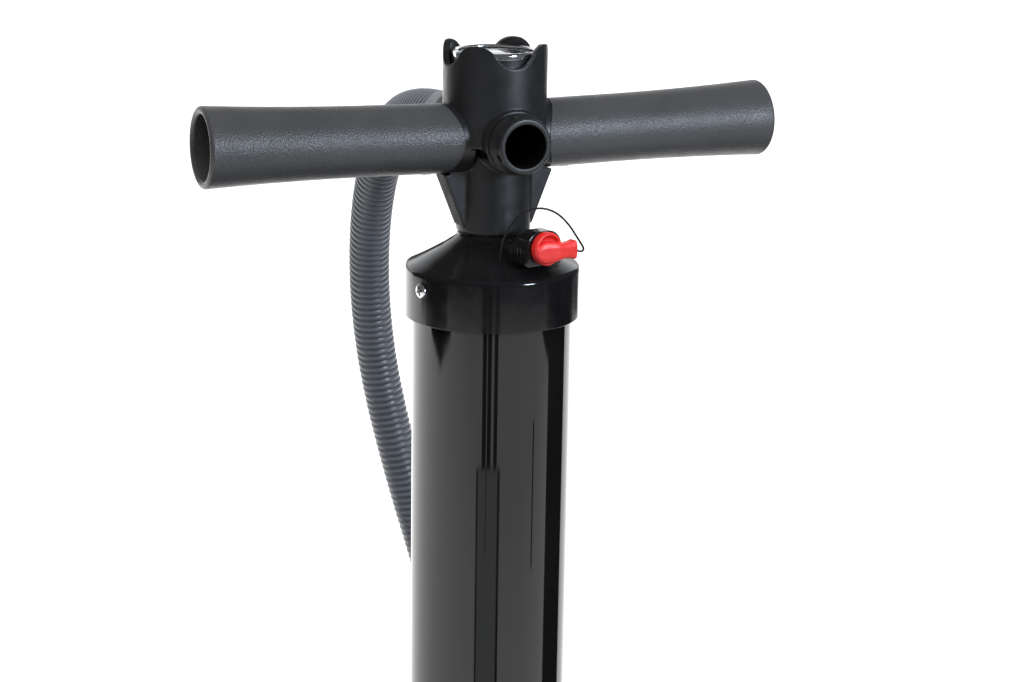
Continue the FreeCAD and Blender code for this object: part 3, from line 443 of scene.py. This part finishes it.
def combined(mesh, other, operation):
    """Exact boolean of two closed meshes."""
    tool = bpy.data.objects.new("tool", other)
    bpy.context.scene.collection.objects.link(tool)
    result = evaluated(mesh, ("BOOLEAN", {"operation": operation, "object": tool, "solver": "EXACT"}))
    bpy.data.objects.remove(tool)
    return result


def softened(mesh, voxel_mm, passes):
    """One moulded skin with small fillets over all the shapes in the mesh."""
    remesh = ("REMESH", {"mode": "VOXEL", "voxel_size": voxel_mm * MM, "use_smooth_shade": True})
    smooth = ("SMOOTH", {"factor": 0.5, "iterations": passes})
    return evaluated(mesh.copy(), remesh, smooth)


def soft_node(node, voxel_mm, passes, material, body):
    """A CAD node's shape with the rounded edges of a moulding."""
    mesh = softened(NODES[node].data, voxel_mm, passes)
    return add_piece(node + "_moulding", mesh, material, body, [node])


def along_y(z=0.0, start=0.0, side=1):
    """Turns a shape made about Z so that its +Z points along +Y (side 1) or -Y (side -1)."""
    turn = Matrix.Rotation(math.radians(-90 * side), 4, "X")
    return Matrix.Translation((0, start, z)) @ turn


def about_axis(degrees):
    return Matrix.Rotation(math.radians(degrees), 4, "Z")


def scaled(place):
    """A placement in millimetres, for a mesh already in metres."""
    result = place.copy()
    result.translation = place.translation * MM
    return result


def curve_mesh(data):
    """The mesh of a curve or a text."""
    holder = bpy.data.objects.new("holder", data)
    bpy.context.scene.collection.objects.link(holder)
    mesh = bpy.data.meshes.new_from_object(holder)
    bpy.data.objects.remove(holder)
    return mesh


def eased(share):
    """From 0 to 1, slow at both ends."""
    share = min(1.0, max(0.0, share))
    return share * share * (3 - 2 * share)


def route_points(points, resolution=24):
    """Points along the smooth NURBS line whose control points are the route's."""
    curve = bpy.data.curves.new("route", "CURVE")
    curve.dimensions = "3D"
    spline = curve.splines.new("NURBS")
    spline.points.add(len(points) - 1)
    for control, point in zip(spline.points, points):
        control.co = (*[value * MM for value in point], 1.0)
    spline.order_u = 3
    spline.use_endpoint_u = True
    spline.resolution_u = resolution
    line = curve_mesh(curve)
    found = [vertex.co.copy() for vertex in line.vertices]
    bpy.data.meshes.remove(line)
    return found


def distances(points):
    """The distance along a line at each of its points."""
    result = [0.0]
    for a, b in zip(points, points[1:]):
        result.append(result[-1] + (b - a).length)
    return result


def evenly(points, spacing):
    """The same line with its points about spacing metres apart."""
    lengths = distances(points)
    count = max(2, round(lengths[-1] / spacing))
    result = []
    index = 0
    for step in range(count + 1):
        target = lengths[-1] * step / count
        while index < len(points) - 2 and lengths[index + 1] < target:
            index += 1
        share = (target - lengths[index]) / max(1e-9, lengths[index + 1] - lengths[index])
        result.append(points[index].lerp(points[index + 1], min(1.0, share)))
    return result


def tube_along(name, line, sides, radius_at):
    """Closed tube round a line of points; radius_at(distance, angle) gives its radius in metres."""
    points = []
    tangent = (line[1] - line[0]).normalized()
    across = tangent.orthogonal().normalized()
    for index, (centre, distance) in enumerate(zip(line, distances(line))):
        ahead = line[min(index + 1, len(line) - 1)] - line[max(index - 1, 0)]
        ahead.normalize()
        across = (across - ahead * across.dot(ahead)).normalized()
        side = ahead.cross(across)
        for step in range(sides):
            angle = 2 * math.pi * step / sides
            offset = across * math.cos(angle) + side * math.sin(angle)
            points.append((centre + offset * radius_at(distance, angle)) / MM)
    return mesh_from(name, points, loft_faces(len(line), sides))


# ---- free cords ---------------------------------------------------------------------------
HOSE_R = 14.0
HOSE_SIDES = 48
CREST_R = HOSE_R + 0.35
RIB_PITCH = 5.0
RIB_DEPTH = 1.1
TETHER_R = 0.6

HOSE_ROUTE = [
    (0.0, 76.0, RIM_Z + 105.6),
    (0.0, 108.0, RIM_Z + 105.6),
    (9.0, 180.0, RIM_Z + 88.5),
    (14.5, 238.0, RIM_Z + 36.5),
    (25.0, 279.0, RIM_Z - 38.0),
    (39.8, 299.0, RIM_Z - 116.0),
    (61.8, 300.5, RIM_Z - 203.0),
    (85.2, 296.5, RIM_Z - 284.0),
    (100.0, 292.0, RIM_Z - 350.0),
    (140.0, 284.0, RIM_Z - 406.0),
    (214.0, 265.0, 14.3),
    (274.0, 206.0, 14.3),
    (288.0, 118.0, 14.3),
    (268.0, 26.0, 14.3),
    (232.0, -70.0, 14.3),
]

TETHER_ROUTE = [
    (-11.2, -34.7, RIM_Z + 36.8),
    (-12.6, -39.8, RIM_Z + 48.2),
    (-11.2, -44.6, RIM_Z + 58.8),
    (-4.9, -48.5, RIM_Z + 68.6),
    (5.2, -50.6, RIM_Z + 72.4),
    (15.9, -50.5, RIM_Z + 69.2),
    (24.6, -49.4, RIM_Z + 61.6),
    (31.5, -48.1, RIM_Z + 52.2),
    (34.6, -47.3, RIM_Z + 48.0),
    (36.3, -46.9, RIM_Z + 45.4),
    (35.3, -46.6, RIM_Z + 43.9),
    (33.2, -46.9, RIM_Z + 44.1),
    (30.4, -47.6, RIM_Z + 45.6),
    (27.0, -48.4, RIM_Z + 45.9),
]


def rib_shape(distance, angle):
    """From 0 in a groove to 1 on a crest of the hose's helical rib."""
    phase = distance / (RIB_PITCH * MM) + angle / (2 * math.pi)
    wave = 0.5 + 0.5 * math.cos(2 * math.pi * phase)
    return wave ** 0.6


def ribbed_hose():
    line = evenly(route_points(HOSE_ROUTE), RIB_PITCH * MM / 8)
    mesh = tube_along("ribbed_hose", line, HOSE_SIDES,
                      lambda s, a: (CREST_R - RIB_DEPTH * (1 - rib_shape(s, a))) * MM)
    # The crest attribute drives the painted shade in the hose's grooves.
    crest = mesh.attributes.new("crest", "FLOAT", "POINT")
    angles = [2 * math.pi * step / HOSE_SIDES for step in range(HOSE_SIDES)]
    crest.data.foreach_set("value", [rib_shape(s, a) for s in distances(line) for a in angles])
    hose = add_piece("ribbed_hose", shade(mesh, 60), HOSE, None, ["hose"])
    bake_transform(hose)
    return hose, line


def plug_tether():
    line = evenly(route_points(TETHER_ROUTE), TETHER_R * MM)
    mesh = tube_along("plug_tether", line, 14, lambda s, a: TETHER_R * MM)
    tether = add_piece("plug_tether", shade(mesh, 60), TETHER, None, ["tether"])
    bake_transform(tether)


hose_piece, hose_line = ribbed_hose()
plug_tether()


# ---- base and barrel ----------------------------------------------------------------------
def barrel():
    outline = rounded([(47.0, 30.0, 0.4), (47.0, 481.5, 0.4), (45.0, 481.5, 0.4), (45.0, 30.0, 0.4)], 4)
    mesh = lathe("barrel", outline, 320)
    add_piece("barrel", shade(mesh), BARREL, "pump_body", ["barrel_tube"])


def pan_screw(name, place, radius=4.3, height=2.2, shank=9.0):
    """Pan-head screw with a tapered cross recess, head along +Z from z = 0."""
    edge = rounded([(0.01, -shank, 0), (1.8, -shank, 0.4), (1.8, 0, 0), (radius, 0, 0.25),
                    (radius, height * 0.62, 1.1), (radius * 0.35, height, 1.5), (0.01, height, 0)], 6)
    head = disc_lathe(name, [(0, edge[0][1])] + edge[1:-1] + [(0, edge[-1][1])], 64)
    for turn in (0, 90):
        half, width, floor = 2.9, 0.7, -0.4
        points = [(x * s, y * w, z) for z, s, w in ((floor, 0.55, 0.75), (height + 0.4, 1.0, 1.15))
                  for x, y in ((-half, -width), (half, -width), (half, width), (-half, width))]
        head = combined(head, mesh_from("slot", points, BOX_FACES, about_axis(turn)), "DIFFERENCE")
    head.transform(scaled(place))
    return head


def radial_place(azimuth, radius, z, spin=0.0):
    """Puts +Z outwards from the pump's axis at an azimuth from -Y towards +X."""
    turn = about_axis(azimuth) @ along_y(z, -radius, -1)
    return turn @ about_axis(spin)


def screws():
    cap = [pan_screw("screw", radial_place(a, 51.4, RIM_Z + 20.2, 20)) for a in (-75.3, 104.7)]
    add_piece("cap_pan_screws", shade(joined("cap_pan_screws", cap)), STEEL, "pump_body", ["cap_screws"])
    base = [pan_screw("screw", radial_place(a, 56.0, 39.0, a / 3)) for a in (45, 135, 225, 315)]
    add_piece("base_pan_screws", shade(joined("base_pan_screws", base)), BLACK_SCREW, "pump_body",
              ["base_screws"])


def rods():
    outline = rounded([(14.0, 64.5, 0.3), (14.0, 538.0, 0.3), (12.3, 538.0, 0.3), (12.3, 64.5, 0.3)], 3)
    add_piece("rod", shade(lathe("rod", outline)), ROD, "handle", ["piston_rod"])


# ---- cap ----------------------------------------------------------------------------------
PLUG_AZIMUTH = 13.5
PLUG_Z = RIM_Z + 47.6
BLOCK_HALF = 13.0
BLOCK_FRONT = -48.0
BLOCK_BACK = -23.6
BLOCK_LOW = RIM_Z + 37.2
BLOCK_TOP = RIM_Z + 57.2
BLOCK_EDGE = 0.9
BLOCK_FOOT_R = 2.5
FLUTES = (-43.5, -40.5, -37.5, -34.5)
FLUTE_HALF, FLUTE_DEPTH = 0.55, 0.2


def block_section(y):
    """Cross-section of the plug block at a distance from the axis, as (x, z) points."""
    depth = min(y - BLOCK_FRONT, BLOCK_EDGE)
    inset = BLOCK_EDGE - math.sqrt(max(0.0, BLOCK_EDGE ** 2 - (BLOCK_EDGE - depth) ** 2))
    flute = sum(max(0.0, 1 - abs(y - at) / FLUTE_HALF) ** 0.5 * FLUTE_DEPTH for at in FLUTES)
    slope = eased((y + 38.6) / 9.6)
    half = BLOCK_HALF - inset
    corner = 9.5 - 5.0 * slope
    side_low = BLOCK_LOW + inset + BLOCK_FOOT_R
    side_high = BLOCK_TOP - 7.6 * slope - inset - corner
    section = []
    for angle in range(-90, 1, 15):
        a = math.radians(angle)
        section.append((half - BLOCK_FOOT_R * (1 - math.cos(a)), side_low + BLOCK_FOOT_R * math.sin(a)))
    section += [(half - flute, side_low + (side_high - side_low) * share) for share in (0.06, 0.5, 0.94)]
    for angle in range(0, 91, 9):
        a = math.radians(angle)
        section.append((half - corner * (1 - math.cos(a)), side_high + corner * math.sin(a)))
    return section + [(-x, z) for x, z in reversed(section)]


def plug_block():
    """Block from its front face to the cone, in closer steps round the front edge."""
    places = [BLOCK_FRONT + 0.06 * step ** 1.25 for step in range(10)]
    spacing = 0.2
    y = places[-1] + spacing
    while y < BLOCK_BACK:
        places.append(y)
        y += spacing
    points = [(x, y, z) for y in places for x, z in block_section(y)]
    faces = loft_faces(len(places), len(points) // len(places))
    return mesh_from("plug_block", points, faces, about_axis(PLUG_AZIMUTH))


def cap():
    outside = [(51.4, 0, 0.5), (51.4, 29.6, 3.4), (44.0, 33.3, 6.0), (28.9, 42.0, 20.0),
               (23.2, 45.8, 4.0), (21.2, 47.5, 1.5), (20.8, 49.3, 0.6)]
    rod_bore = [(17.05, 49.3, 0.4), (17.05, 36.0, 0), (14.4, 36.0, 0), (14.4, 32.0, 0),
                (18.0, 32.0, 0), (18.0, 18.0, 0), (22.0, 18.0, 0)]
    inside = [(22.0, 42.0, 0), (28.0, 38.6, 0), (40.8, 31.0, 0), (40.8, 8.0, 0), (44.8, 8.0, 0),
              (44.8, 26.0, 0), (47.1, 26.0, 0), (47.1, 0, 0.3)]
    corners = [(r, RIM_Z + z, fillet) for r, z, fillet in outside + rod_bore + inside]
    shell = lathe("cap", rounded(corners, 8), 256)
    shell = combined(shell, plug_block(), "UNION")
    place = about_axis(PLUG_AZIMUTH) @ along_y(PLUG_Z, -29.0, -1)
    seat = lathe("seat", [(6.45, 0.0), (6.45, 30.0), (0.02, 30.0), (0.02, 0.0)], 64, place)
    shell = combined(shell, seat, "DIFFERENCE")
    add_piece("cap", shade(shell, 30), CAP, "pump_body", ["top_cap"])


# ---- red plug -----------------------------------------------------------------------------
LEVER_Z = RIM_Z + 45.9
LEVER_START = -8.9
LEVER_TAIL = 17.8
LEVER_BACK = -50.4
LEVER_FACE = -53.4


def lever_half_height(x):
    """Half height of the fishtail lever at a distance from the plug's centre."""
    marks = [(LEVER_START, 0.6), (-8.5, 2.4), (-7.4, 4.0), (-5.0, 5.6), (-2.2, 6.3), (2.2, 5.9), (9.5, 4.3),
             (14.0, 4.8), (16.8, 5.6), (LEVER_TAIL, 5.3)]
    for (x0, h0), (x1, h1) in zip(marks, marks[1:]):
        if x <= x1:
            share = (x - x0) / (x1 - x0)
            return h0 + (h1 - h0) * (0.5 * eased(share) + 0.5 * share)
    return marks[-1][1]


def lever():
    """Bar with a gently crowned front face, drawn towards -Y in front of the head."""
    columns = 64
    points = []
    for step in range(columns + 1):
        x = LEVER_START + (LEVER_TAIL - LEVER_START) * step / columns
        half = lever_half_height(x)
        face = LEVER_FACE - 3.0 * min(1.0, (x - LEVER_START) / 14.0) ** 0.8
        lower = [(LEVER_BACK, -half), (face + 1.6, -half), (face + 0.6, -half * 0.86), (face, -half * 0.5)]
        profile = lower + [(face, 0)] + [(y, -z) for y, z in reversed(lower)]
        points += [(x, y, LEVER_Z + z) for y, z in profile]
    faces = loft_faces(columns + 1, len(points) // (columns + 1))
    return mesh_from("lever", points, faces, about_axis(PLUG_AZIMUTH))


def red_plug():
    place = about_axis(PLUG_AZIMUTH) @ along_y(PLUG_Z, 0.0, -1)
    head = rounded([(0.02, 50.6, 0), (6.6, 50.6, 1.6), (8.1, 52.9, 0.5), (9.0, 52.9, 0.6), (9.6, 52.0, 0.6),
                    (9.6, 48.1, 0.4), (6.4, 48.1, 0), (6.4, 31.0, 0.5), (4.0, 31.0, 0.3), (4.0, 40.0, 0),
                    (0.02, 40.0, 0)], 5)
    body = lathe("head", head, 128, place)
    skin = softened(joined("plug", [body, lever()]), 0.28, 4)
    hole = about_axis(PLUG_AZIMUTH) @ Matrix.Translation((14.4, LEVER_FACE, LEVER_Z))
    hole = hole @ Matrix.Rotation(math.radians(90), 4, "Y")
    cutter = disc_lathe("hole", [(0, 0), (1.1, 0), (1.1, 8), (0, 8)], 32, hole)
    skin = combined(skin, cutter, "DIFFERENCE")
    add_piece("red_plug", shade(skin, 50), PLUG, "plug", ["relief_plug"])


# ---- handle -------------------------------------------------------------------------------
GRIP_START = 31.0
GRIP_Z = RIM_Z + 105.3
GRIP_LENGTH = 143.5
GRIP_TILT = 0.88
GRIP_R = 20.0
GRIP_END_R = 22.75
SADDLE_R = 33.15


def grip_outline():
    """(radius, distance along the grip) of its wall, with a rounded lip and a slow flare."""
    inner_end = -6.0
    outer = [(GRIP_R, inner_end)]
    flare_start, rise = 40.0, 2.8
    run = GRIP_LENGTH - flare_start
    bend = (run ** 2 + rise ** 2) / (2 * rise)
    for step in range(25):
        s = 0.4 + (GRIP_LENGTH - 2.8) * step / 24
        extra = 0.0 if s < flare_start else bend - math.sqrt(bend ** 2 - (s - flare_start) ** 2)
        outer.append((GRIP_R + extra, s))
    lip_half, lip_depth = 2.35, 2.2
    for angle in range(0, 181, 15):
        a = math.radians(angle)
        outer.append((GRIP_END_R - lip_half * (1 - math.cos(a)), GRIP_LENGTH - lip_depth * (1 - math.sin(a))))
    bore = [(GRIP_BORE_R + 0.5, GRIP_LENGTH - 6), (GRIP_BORE_R, 24.0), (GRIP_BORE_R, inner_end)]
    return outer + bore


def grips():
    """Both grips, cut to the curve of the hub that they butt against."""
    turn = Matrix.Rotation(math.radians(90 - GRIP_TILT), 4, "Y")
    place = Matrix.Translation((GRIP_START, 0, GRIP_Z)) @ turn
    mirror = Matrix.Scale(-1, 4, (1, 0, 0))
    bottom, top = RIM_Z + 70, RIM_Z + 140
    for name, side in (("grip_right", Matrix.Identity(4)), ("grip_left", mirror)):
        mesh = lathe(name + "_skin", grip_outline(), 160, side @ place)
        saddle = disc_lathe("saddle", [(0, bottom), (SADDLE_R, bottom), (SADDLE_R, top), (0, top)], 256)
        mesh = combined(mesh, saddle, "DIFFERENCE")
        add_piece(name + "_skin", shade(mesh, 50), GRIP, "handle", [name])


DIAL_Z = RIM_Z + 147.4
LENS_Z = RIM_Z + 151.4
LENS_R = 24.0
LENS_HEIGHT = 2.4


def gauge():
    profile = [(25.3, 0, 0.3), (25.3, 2.8, 0.9), (23.6, 3.6, 0.8), (21.6, 3.0, 0.4), (21.6, 2.5, 0.2),
               (24.1, 2.5, 0), (24.1, 0, 0)]
    bezel = lathe("bezel", rounded([(r, LENS_Z + z, fillet) for r, z, fillet in profile], 6), 160)
    add_piece("bezel", shade(bezel, 40), CHROME, "handle", ["gauge_bezel"])
    dome = [(LENS_R * share, LENS_Z + LENS_HEIGHT - share ** 2.5) for share in (0.97, 0.8, 0.6, 0.4, 0.2)]
    lens = disc_lathe("lens", [(0, LENS_Z), (LENS_R, LENS_Z)] + dome + [(0, LENS_Z + LENS_HEIGHT)], 128)
    add_piece("lens", shade(lens, 40), LENS, "handle", ["gauge_lens"])
    plate = [(23.2, -0.8, 0.1), (23.2, 0, 0.2), (2.0, 0, 0.1), (2.0, -0.8, 0)]
    face = lathe("dial", rounded([(r, DIAL_Z + z, fillet) for r, z, fillet in plate], 3), 128)
    add_piece("dial", shade(face), DIAL, "handle", ["gauge_dial"])
    add_piece("dial_marks", shade(joined("dial_marks", dial_marks())), INK, "handle")


def dial_marks():
    """Ticks and generic numbers over three quarters of a turn."""
    marks = []
    level = DIAL_Z + 0.05
    half_height = 0.03
    rim_r, number_r = 21.2, 14.8
    for tick in range(31):
        degrees = 225 - 9 * tick
        numbered = tick % 5 == 0
        length, width = (3.2, 0.5) if numbered else (1.7, 0.22)
        points = [(r, s * width / 2, level + h) for h in (-half_height, half_height) for r, s in
                  ((rim_r - length, -1), (rim_r, -1), (rim_r, 1), (rim_r - length, 1))]
        marks.append(mesh_from("tick", points, BOX_FACES, about_axis(degrees)))
        if numbered:
            text = bpy.data.curves.new("number", "FONT")
            text.body = str(tick)
            text.size = 3.6 * MM
            text.align_x = "CENTER"
            text.align_y = "CENTER"
            text.extrude = half_height * MM
            number = curve_mesh(text)
            spot = about_axis(degrees) @ Vector((number_r, 0, level)) * MM
            number.transform(Matrix.Translation(spot))
            marks.append(number)
    return marks


# ---- build --------------------------------------------------------------------------------
barrel()
screws()
rods()
cap()
red_plug()
grips()
gauge()
soft_node("handle_hub", 0.5, 3, HUB, "handle")
soft_node("base_plate", 1.1, 3, BASE, "pump_body")
soft_node("foot_treads", 0.5, 2, RUBBER, "pump_body")
soft_node("base_feet", 0.5, 2, RUBBER, "pump_body")
soft_node("hose_nut", 0.4, 3, NUT, "nut")
soft_node("upper_cuff", 0.5, 3, CUFF, "handle")
lower = [soft_node("lower_cuff", 0.5, 3, CUFF, "rod_guide"),
         soft_node("valve_connector", 0.45, 3, CUFF, "rod_guide"),
         soft_node("connector_ring", 0.4, 2, NUT, "valve_ring")]

for material, names in CAD_MATERIALS.items():
    for node in names:
        NODES[node].data.materials.clear()
        NODES[node].data.materials.append(material)


# ---- studio -------------------------------------------------------------------------------
def emitter(name, color, strength):
    material = bpy.data.materials.new(name)
    material.use_nodes = True
    tree = material.node_tree
    tree.nodes.clear()
    glow = tree.nodes.new("ShaderNodeEmission")
    glow.inputs["Color"].default_value = (*color, 1.0)
    glow.inputs["Strength"].default_value = strength
    output = tree.nodes.new("ShaderNodeOutputMaterial")
    tree.links.new(glow.outputs["Emission"], output.inputs["Surface"])
    return material


def graded(material, axis, low, high, start, end):
    """An emitter whose strength runs from low to high between two places on an axis."""
    tree = material.node_tree
    split = tree.nodes.new("ShaderNodeSeparateXYZ")
    tree.links.new(tree.nodes.new("ShaderNodeTexCoord").outputs["Object"], split.inputs[0])
    level = remap(tree, split.outputs[axis], low, high, start, end)
    tree.links.new(level, tree.nodes["Emission"].inputs["Strength"])
    return material


def only_reflected(card):
    """A studio card that shows only in glossy reflections."""
    card.visible_camera = False
    card.visible_diffuse = False
    card.visible_shadow = False
    card.visible_transmission = False


def screen(name, radius, start, end, low, high, material):
    """Upright curved card between two azimuths (degrees from -Y towards +X); sizes in metres.

    low and high are heights, each either one number or a pair for the two ends.
    """
    lows = low if isinstance(low, tuple) else (low, low)
    highs = high if isinstance(high, tuple) else (high, high)
    steps = max(2, int((end - start) / 2))
    points = []
    for step in range(steps + 1):
        share = step / steps
        azimuth = math.radians(start + (end - start) * share)
        x, y = radius * math.sin(azimuth), -radius * math.cos(azimuth)
        bottom = lows[0] + (lows[1] - lows[0]) * share
        top = highs[0] + (highs[1] - highs[0]) * share
        points += [(x / MM, y / MM, bottom / MM), (x / MM, y / MM, top / MM)]
    faces = [(2 * i, 2 * i + 2, 2 * i + 3, 2 * i + 1) for i in range(steps)]
    only_reflected(add_piece(name, mesh_from(name, points, faces), material))


def level_disc(name, material, radius, height):
    points = [(radius * math.sin(math.radians(a)) / MM, radius * math.cos(math.radians(a)) / MM, height / MM)
              for a in range(0, 360, 10)]
    return add_piece(name, mesh_from(name, points, [tuple(range(36))]), material)


def level_sheet(name, material, height):
    size = 30.0 / MM
    points = [(-size, -size, height / MM), (size, -size, height / MM), (size, size, height / MM),
              (-size, size, height / MM)]
    return add_piece(name, mesh_from(name, points, [(0, 1, 2, 3)]), material)


def floor():
    """Pale floor, with a dim sheet for bounced light and a glow for reflections, brighter to the back."""
    pale = moulded("studio_floor", (0.63, 0.63, 0.63), (0.65, 0.65, 0.65), (0.7, 0.8), 0.01, 0.00001)
    ground = level_sheet("studio_floor", pale, 0.0)
    ground.visible_diffuse = False
    bounce = level_sheet("bounce_sheet", emitter("bounce", (1.0, 1.0, 1.0), 0.08), -0.001)
    only_reflected(bounce)
    bounce.visible_glossy = False
    bounce.visible_diffuse = True
    glow = graded(emitter("floor_glow", (1.0, 1.0, 1.0), 1.0), "Y", 1.07, 2.4, -1.0, 1.5)
    only_reflected(level_sheet("glow_sheet", glow, 0.0015))


def softbox(name, azimuth, elevation, distance, size, power, color):
    """A soft light aimed at the top of the barrel from an azimuth and an elevation in degrees."""
    data = bpy.data.lights.new(name, "AREA")
    data.shape = "RECTANGLE"
    data.size, data.size_y = size
    data.energy = power
    data.color = color
    light = bpy.data.objects.new(name, data)
    bpy.context.scene.collection.objects.link(light)
    a, e = math.radians(azimuth), math.radians(elevation)
    target = Vector((0, 0, 0.55))
    offset = Vector((math.sin(a) * math.cos(e), -math.cos(a) * math.cos(e), math.sin(e)))
    light.location = target + offset * distance
    light.rotation_euler = (-offset).to_track_quat("-Z", "Y").to_euler()


def sky():
    """White surround, brightest overhead."""
    world = bpy.data.worlds.new("studio")
    world.use_nodes = True
    tree = world.node_tree
    split = tree.nodes.new("ShaderNodeSeparateXYZ")
    tree.links.new(tree.nodes.new("ShaderNodeTexCoord").outputs["Generated"], split.inputs[0])
    tree.links.new(remap(tree, split.outputs["Z"], 0.6, 2.7, 0.0, 1.0),
                   tree.nodes["Background"].inputs["Strength"])
    bpy.context.scene.world = world
    tree.nodes["Background"].inputs["Color"].default_value = (1.0, 1.0, 1.0, 1.0)


def studio():
    bpy.context.scene.view_settings.view_transform = "Standard"
    sky()
    floor()
    room = emitter("dark_room", (0.9, 0.95, 1.0), 0.08)
    black = emitter("black_card", (1.0, 1.0, 1.0), 0.0)
    grey = emitter("grey_card", (0.93, 0.96, 1.0), 0.68)
    dim = emitter("dim_card", (1.0, 1.0, 1.0), 0.3)
    screen("dark_room", 1.6, -128, 96, (0.075, 0.06), 4.0, room)
    screen("room_left_dip", 1.52, -119, -101, (0.062, 0.018), (0.2, 0.2), black)
    screen("room_left_dip_2", 1.52, -101, -83, (0.018, 0.062), (0.2, 0.2), black)
    screen("room_right_dip", 1.52, 52, 72, (0.068, 0.0), (0.2, 0.2), black)
    screen("dark_room_left", 1.61, -150, -128, 0.12, 4.0, room)
    screen("dark_room_right", 1.61, 96, 128, 0.05, 4.0, room)
    upper = graded(emitter("back_upper", (0.95, 0.97, 1.0), 1.0), "Z", 1.7, 0.04, 0.85, 1.75)
    screen("back_upper", 1.62, 126, 212, 0.8, 4.0, upper)
    only_reflected(level_disc("dark_ceiling", room, 1.75, 4.0))
    only_reflected(level_disc("near_card", dim, 0.45, 0.003))
    barrel_top, cap_top = 0.24, 0.55
    flags = [("flag_a", -35.0, -29.5, barrel_top, cap_top), ("flag_b", -28.3, -22.8, barrel_top, cap_top),
             ("flag_c", -19.3, -14.3, barrel_top, cap_top), ("flag_left_line", -42.0, -39.8, 0.0, barrel_top),
             ("flag_right_line", -13.0, -9.8, 0.0, barrel_top),
             ("flag_faint_line", -29.2, -28.2, 0.17, barrel_top), ("flag_side", 63, 102, 0.0, 0.50)]
    for name, start, end, bottom, top in flags:
        screen(name, 0.45, start, end, bottom, top, black)
    screen("flag_middle", 0.46, -40, -11, 0.0, barrel_top, grey)
    screen("flag_thin", 0.44, 37.5, 39.5, 0.157, 0.279, black)
    softbox("key", 25, 12, 1.5, (0.30, 0.34), 18.0, (0.74, 0.84, 1.0))


studio()
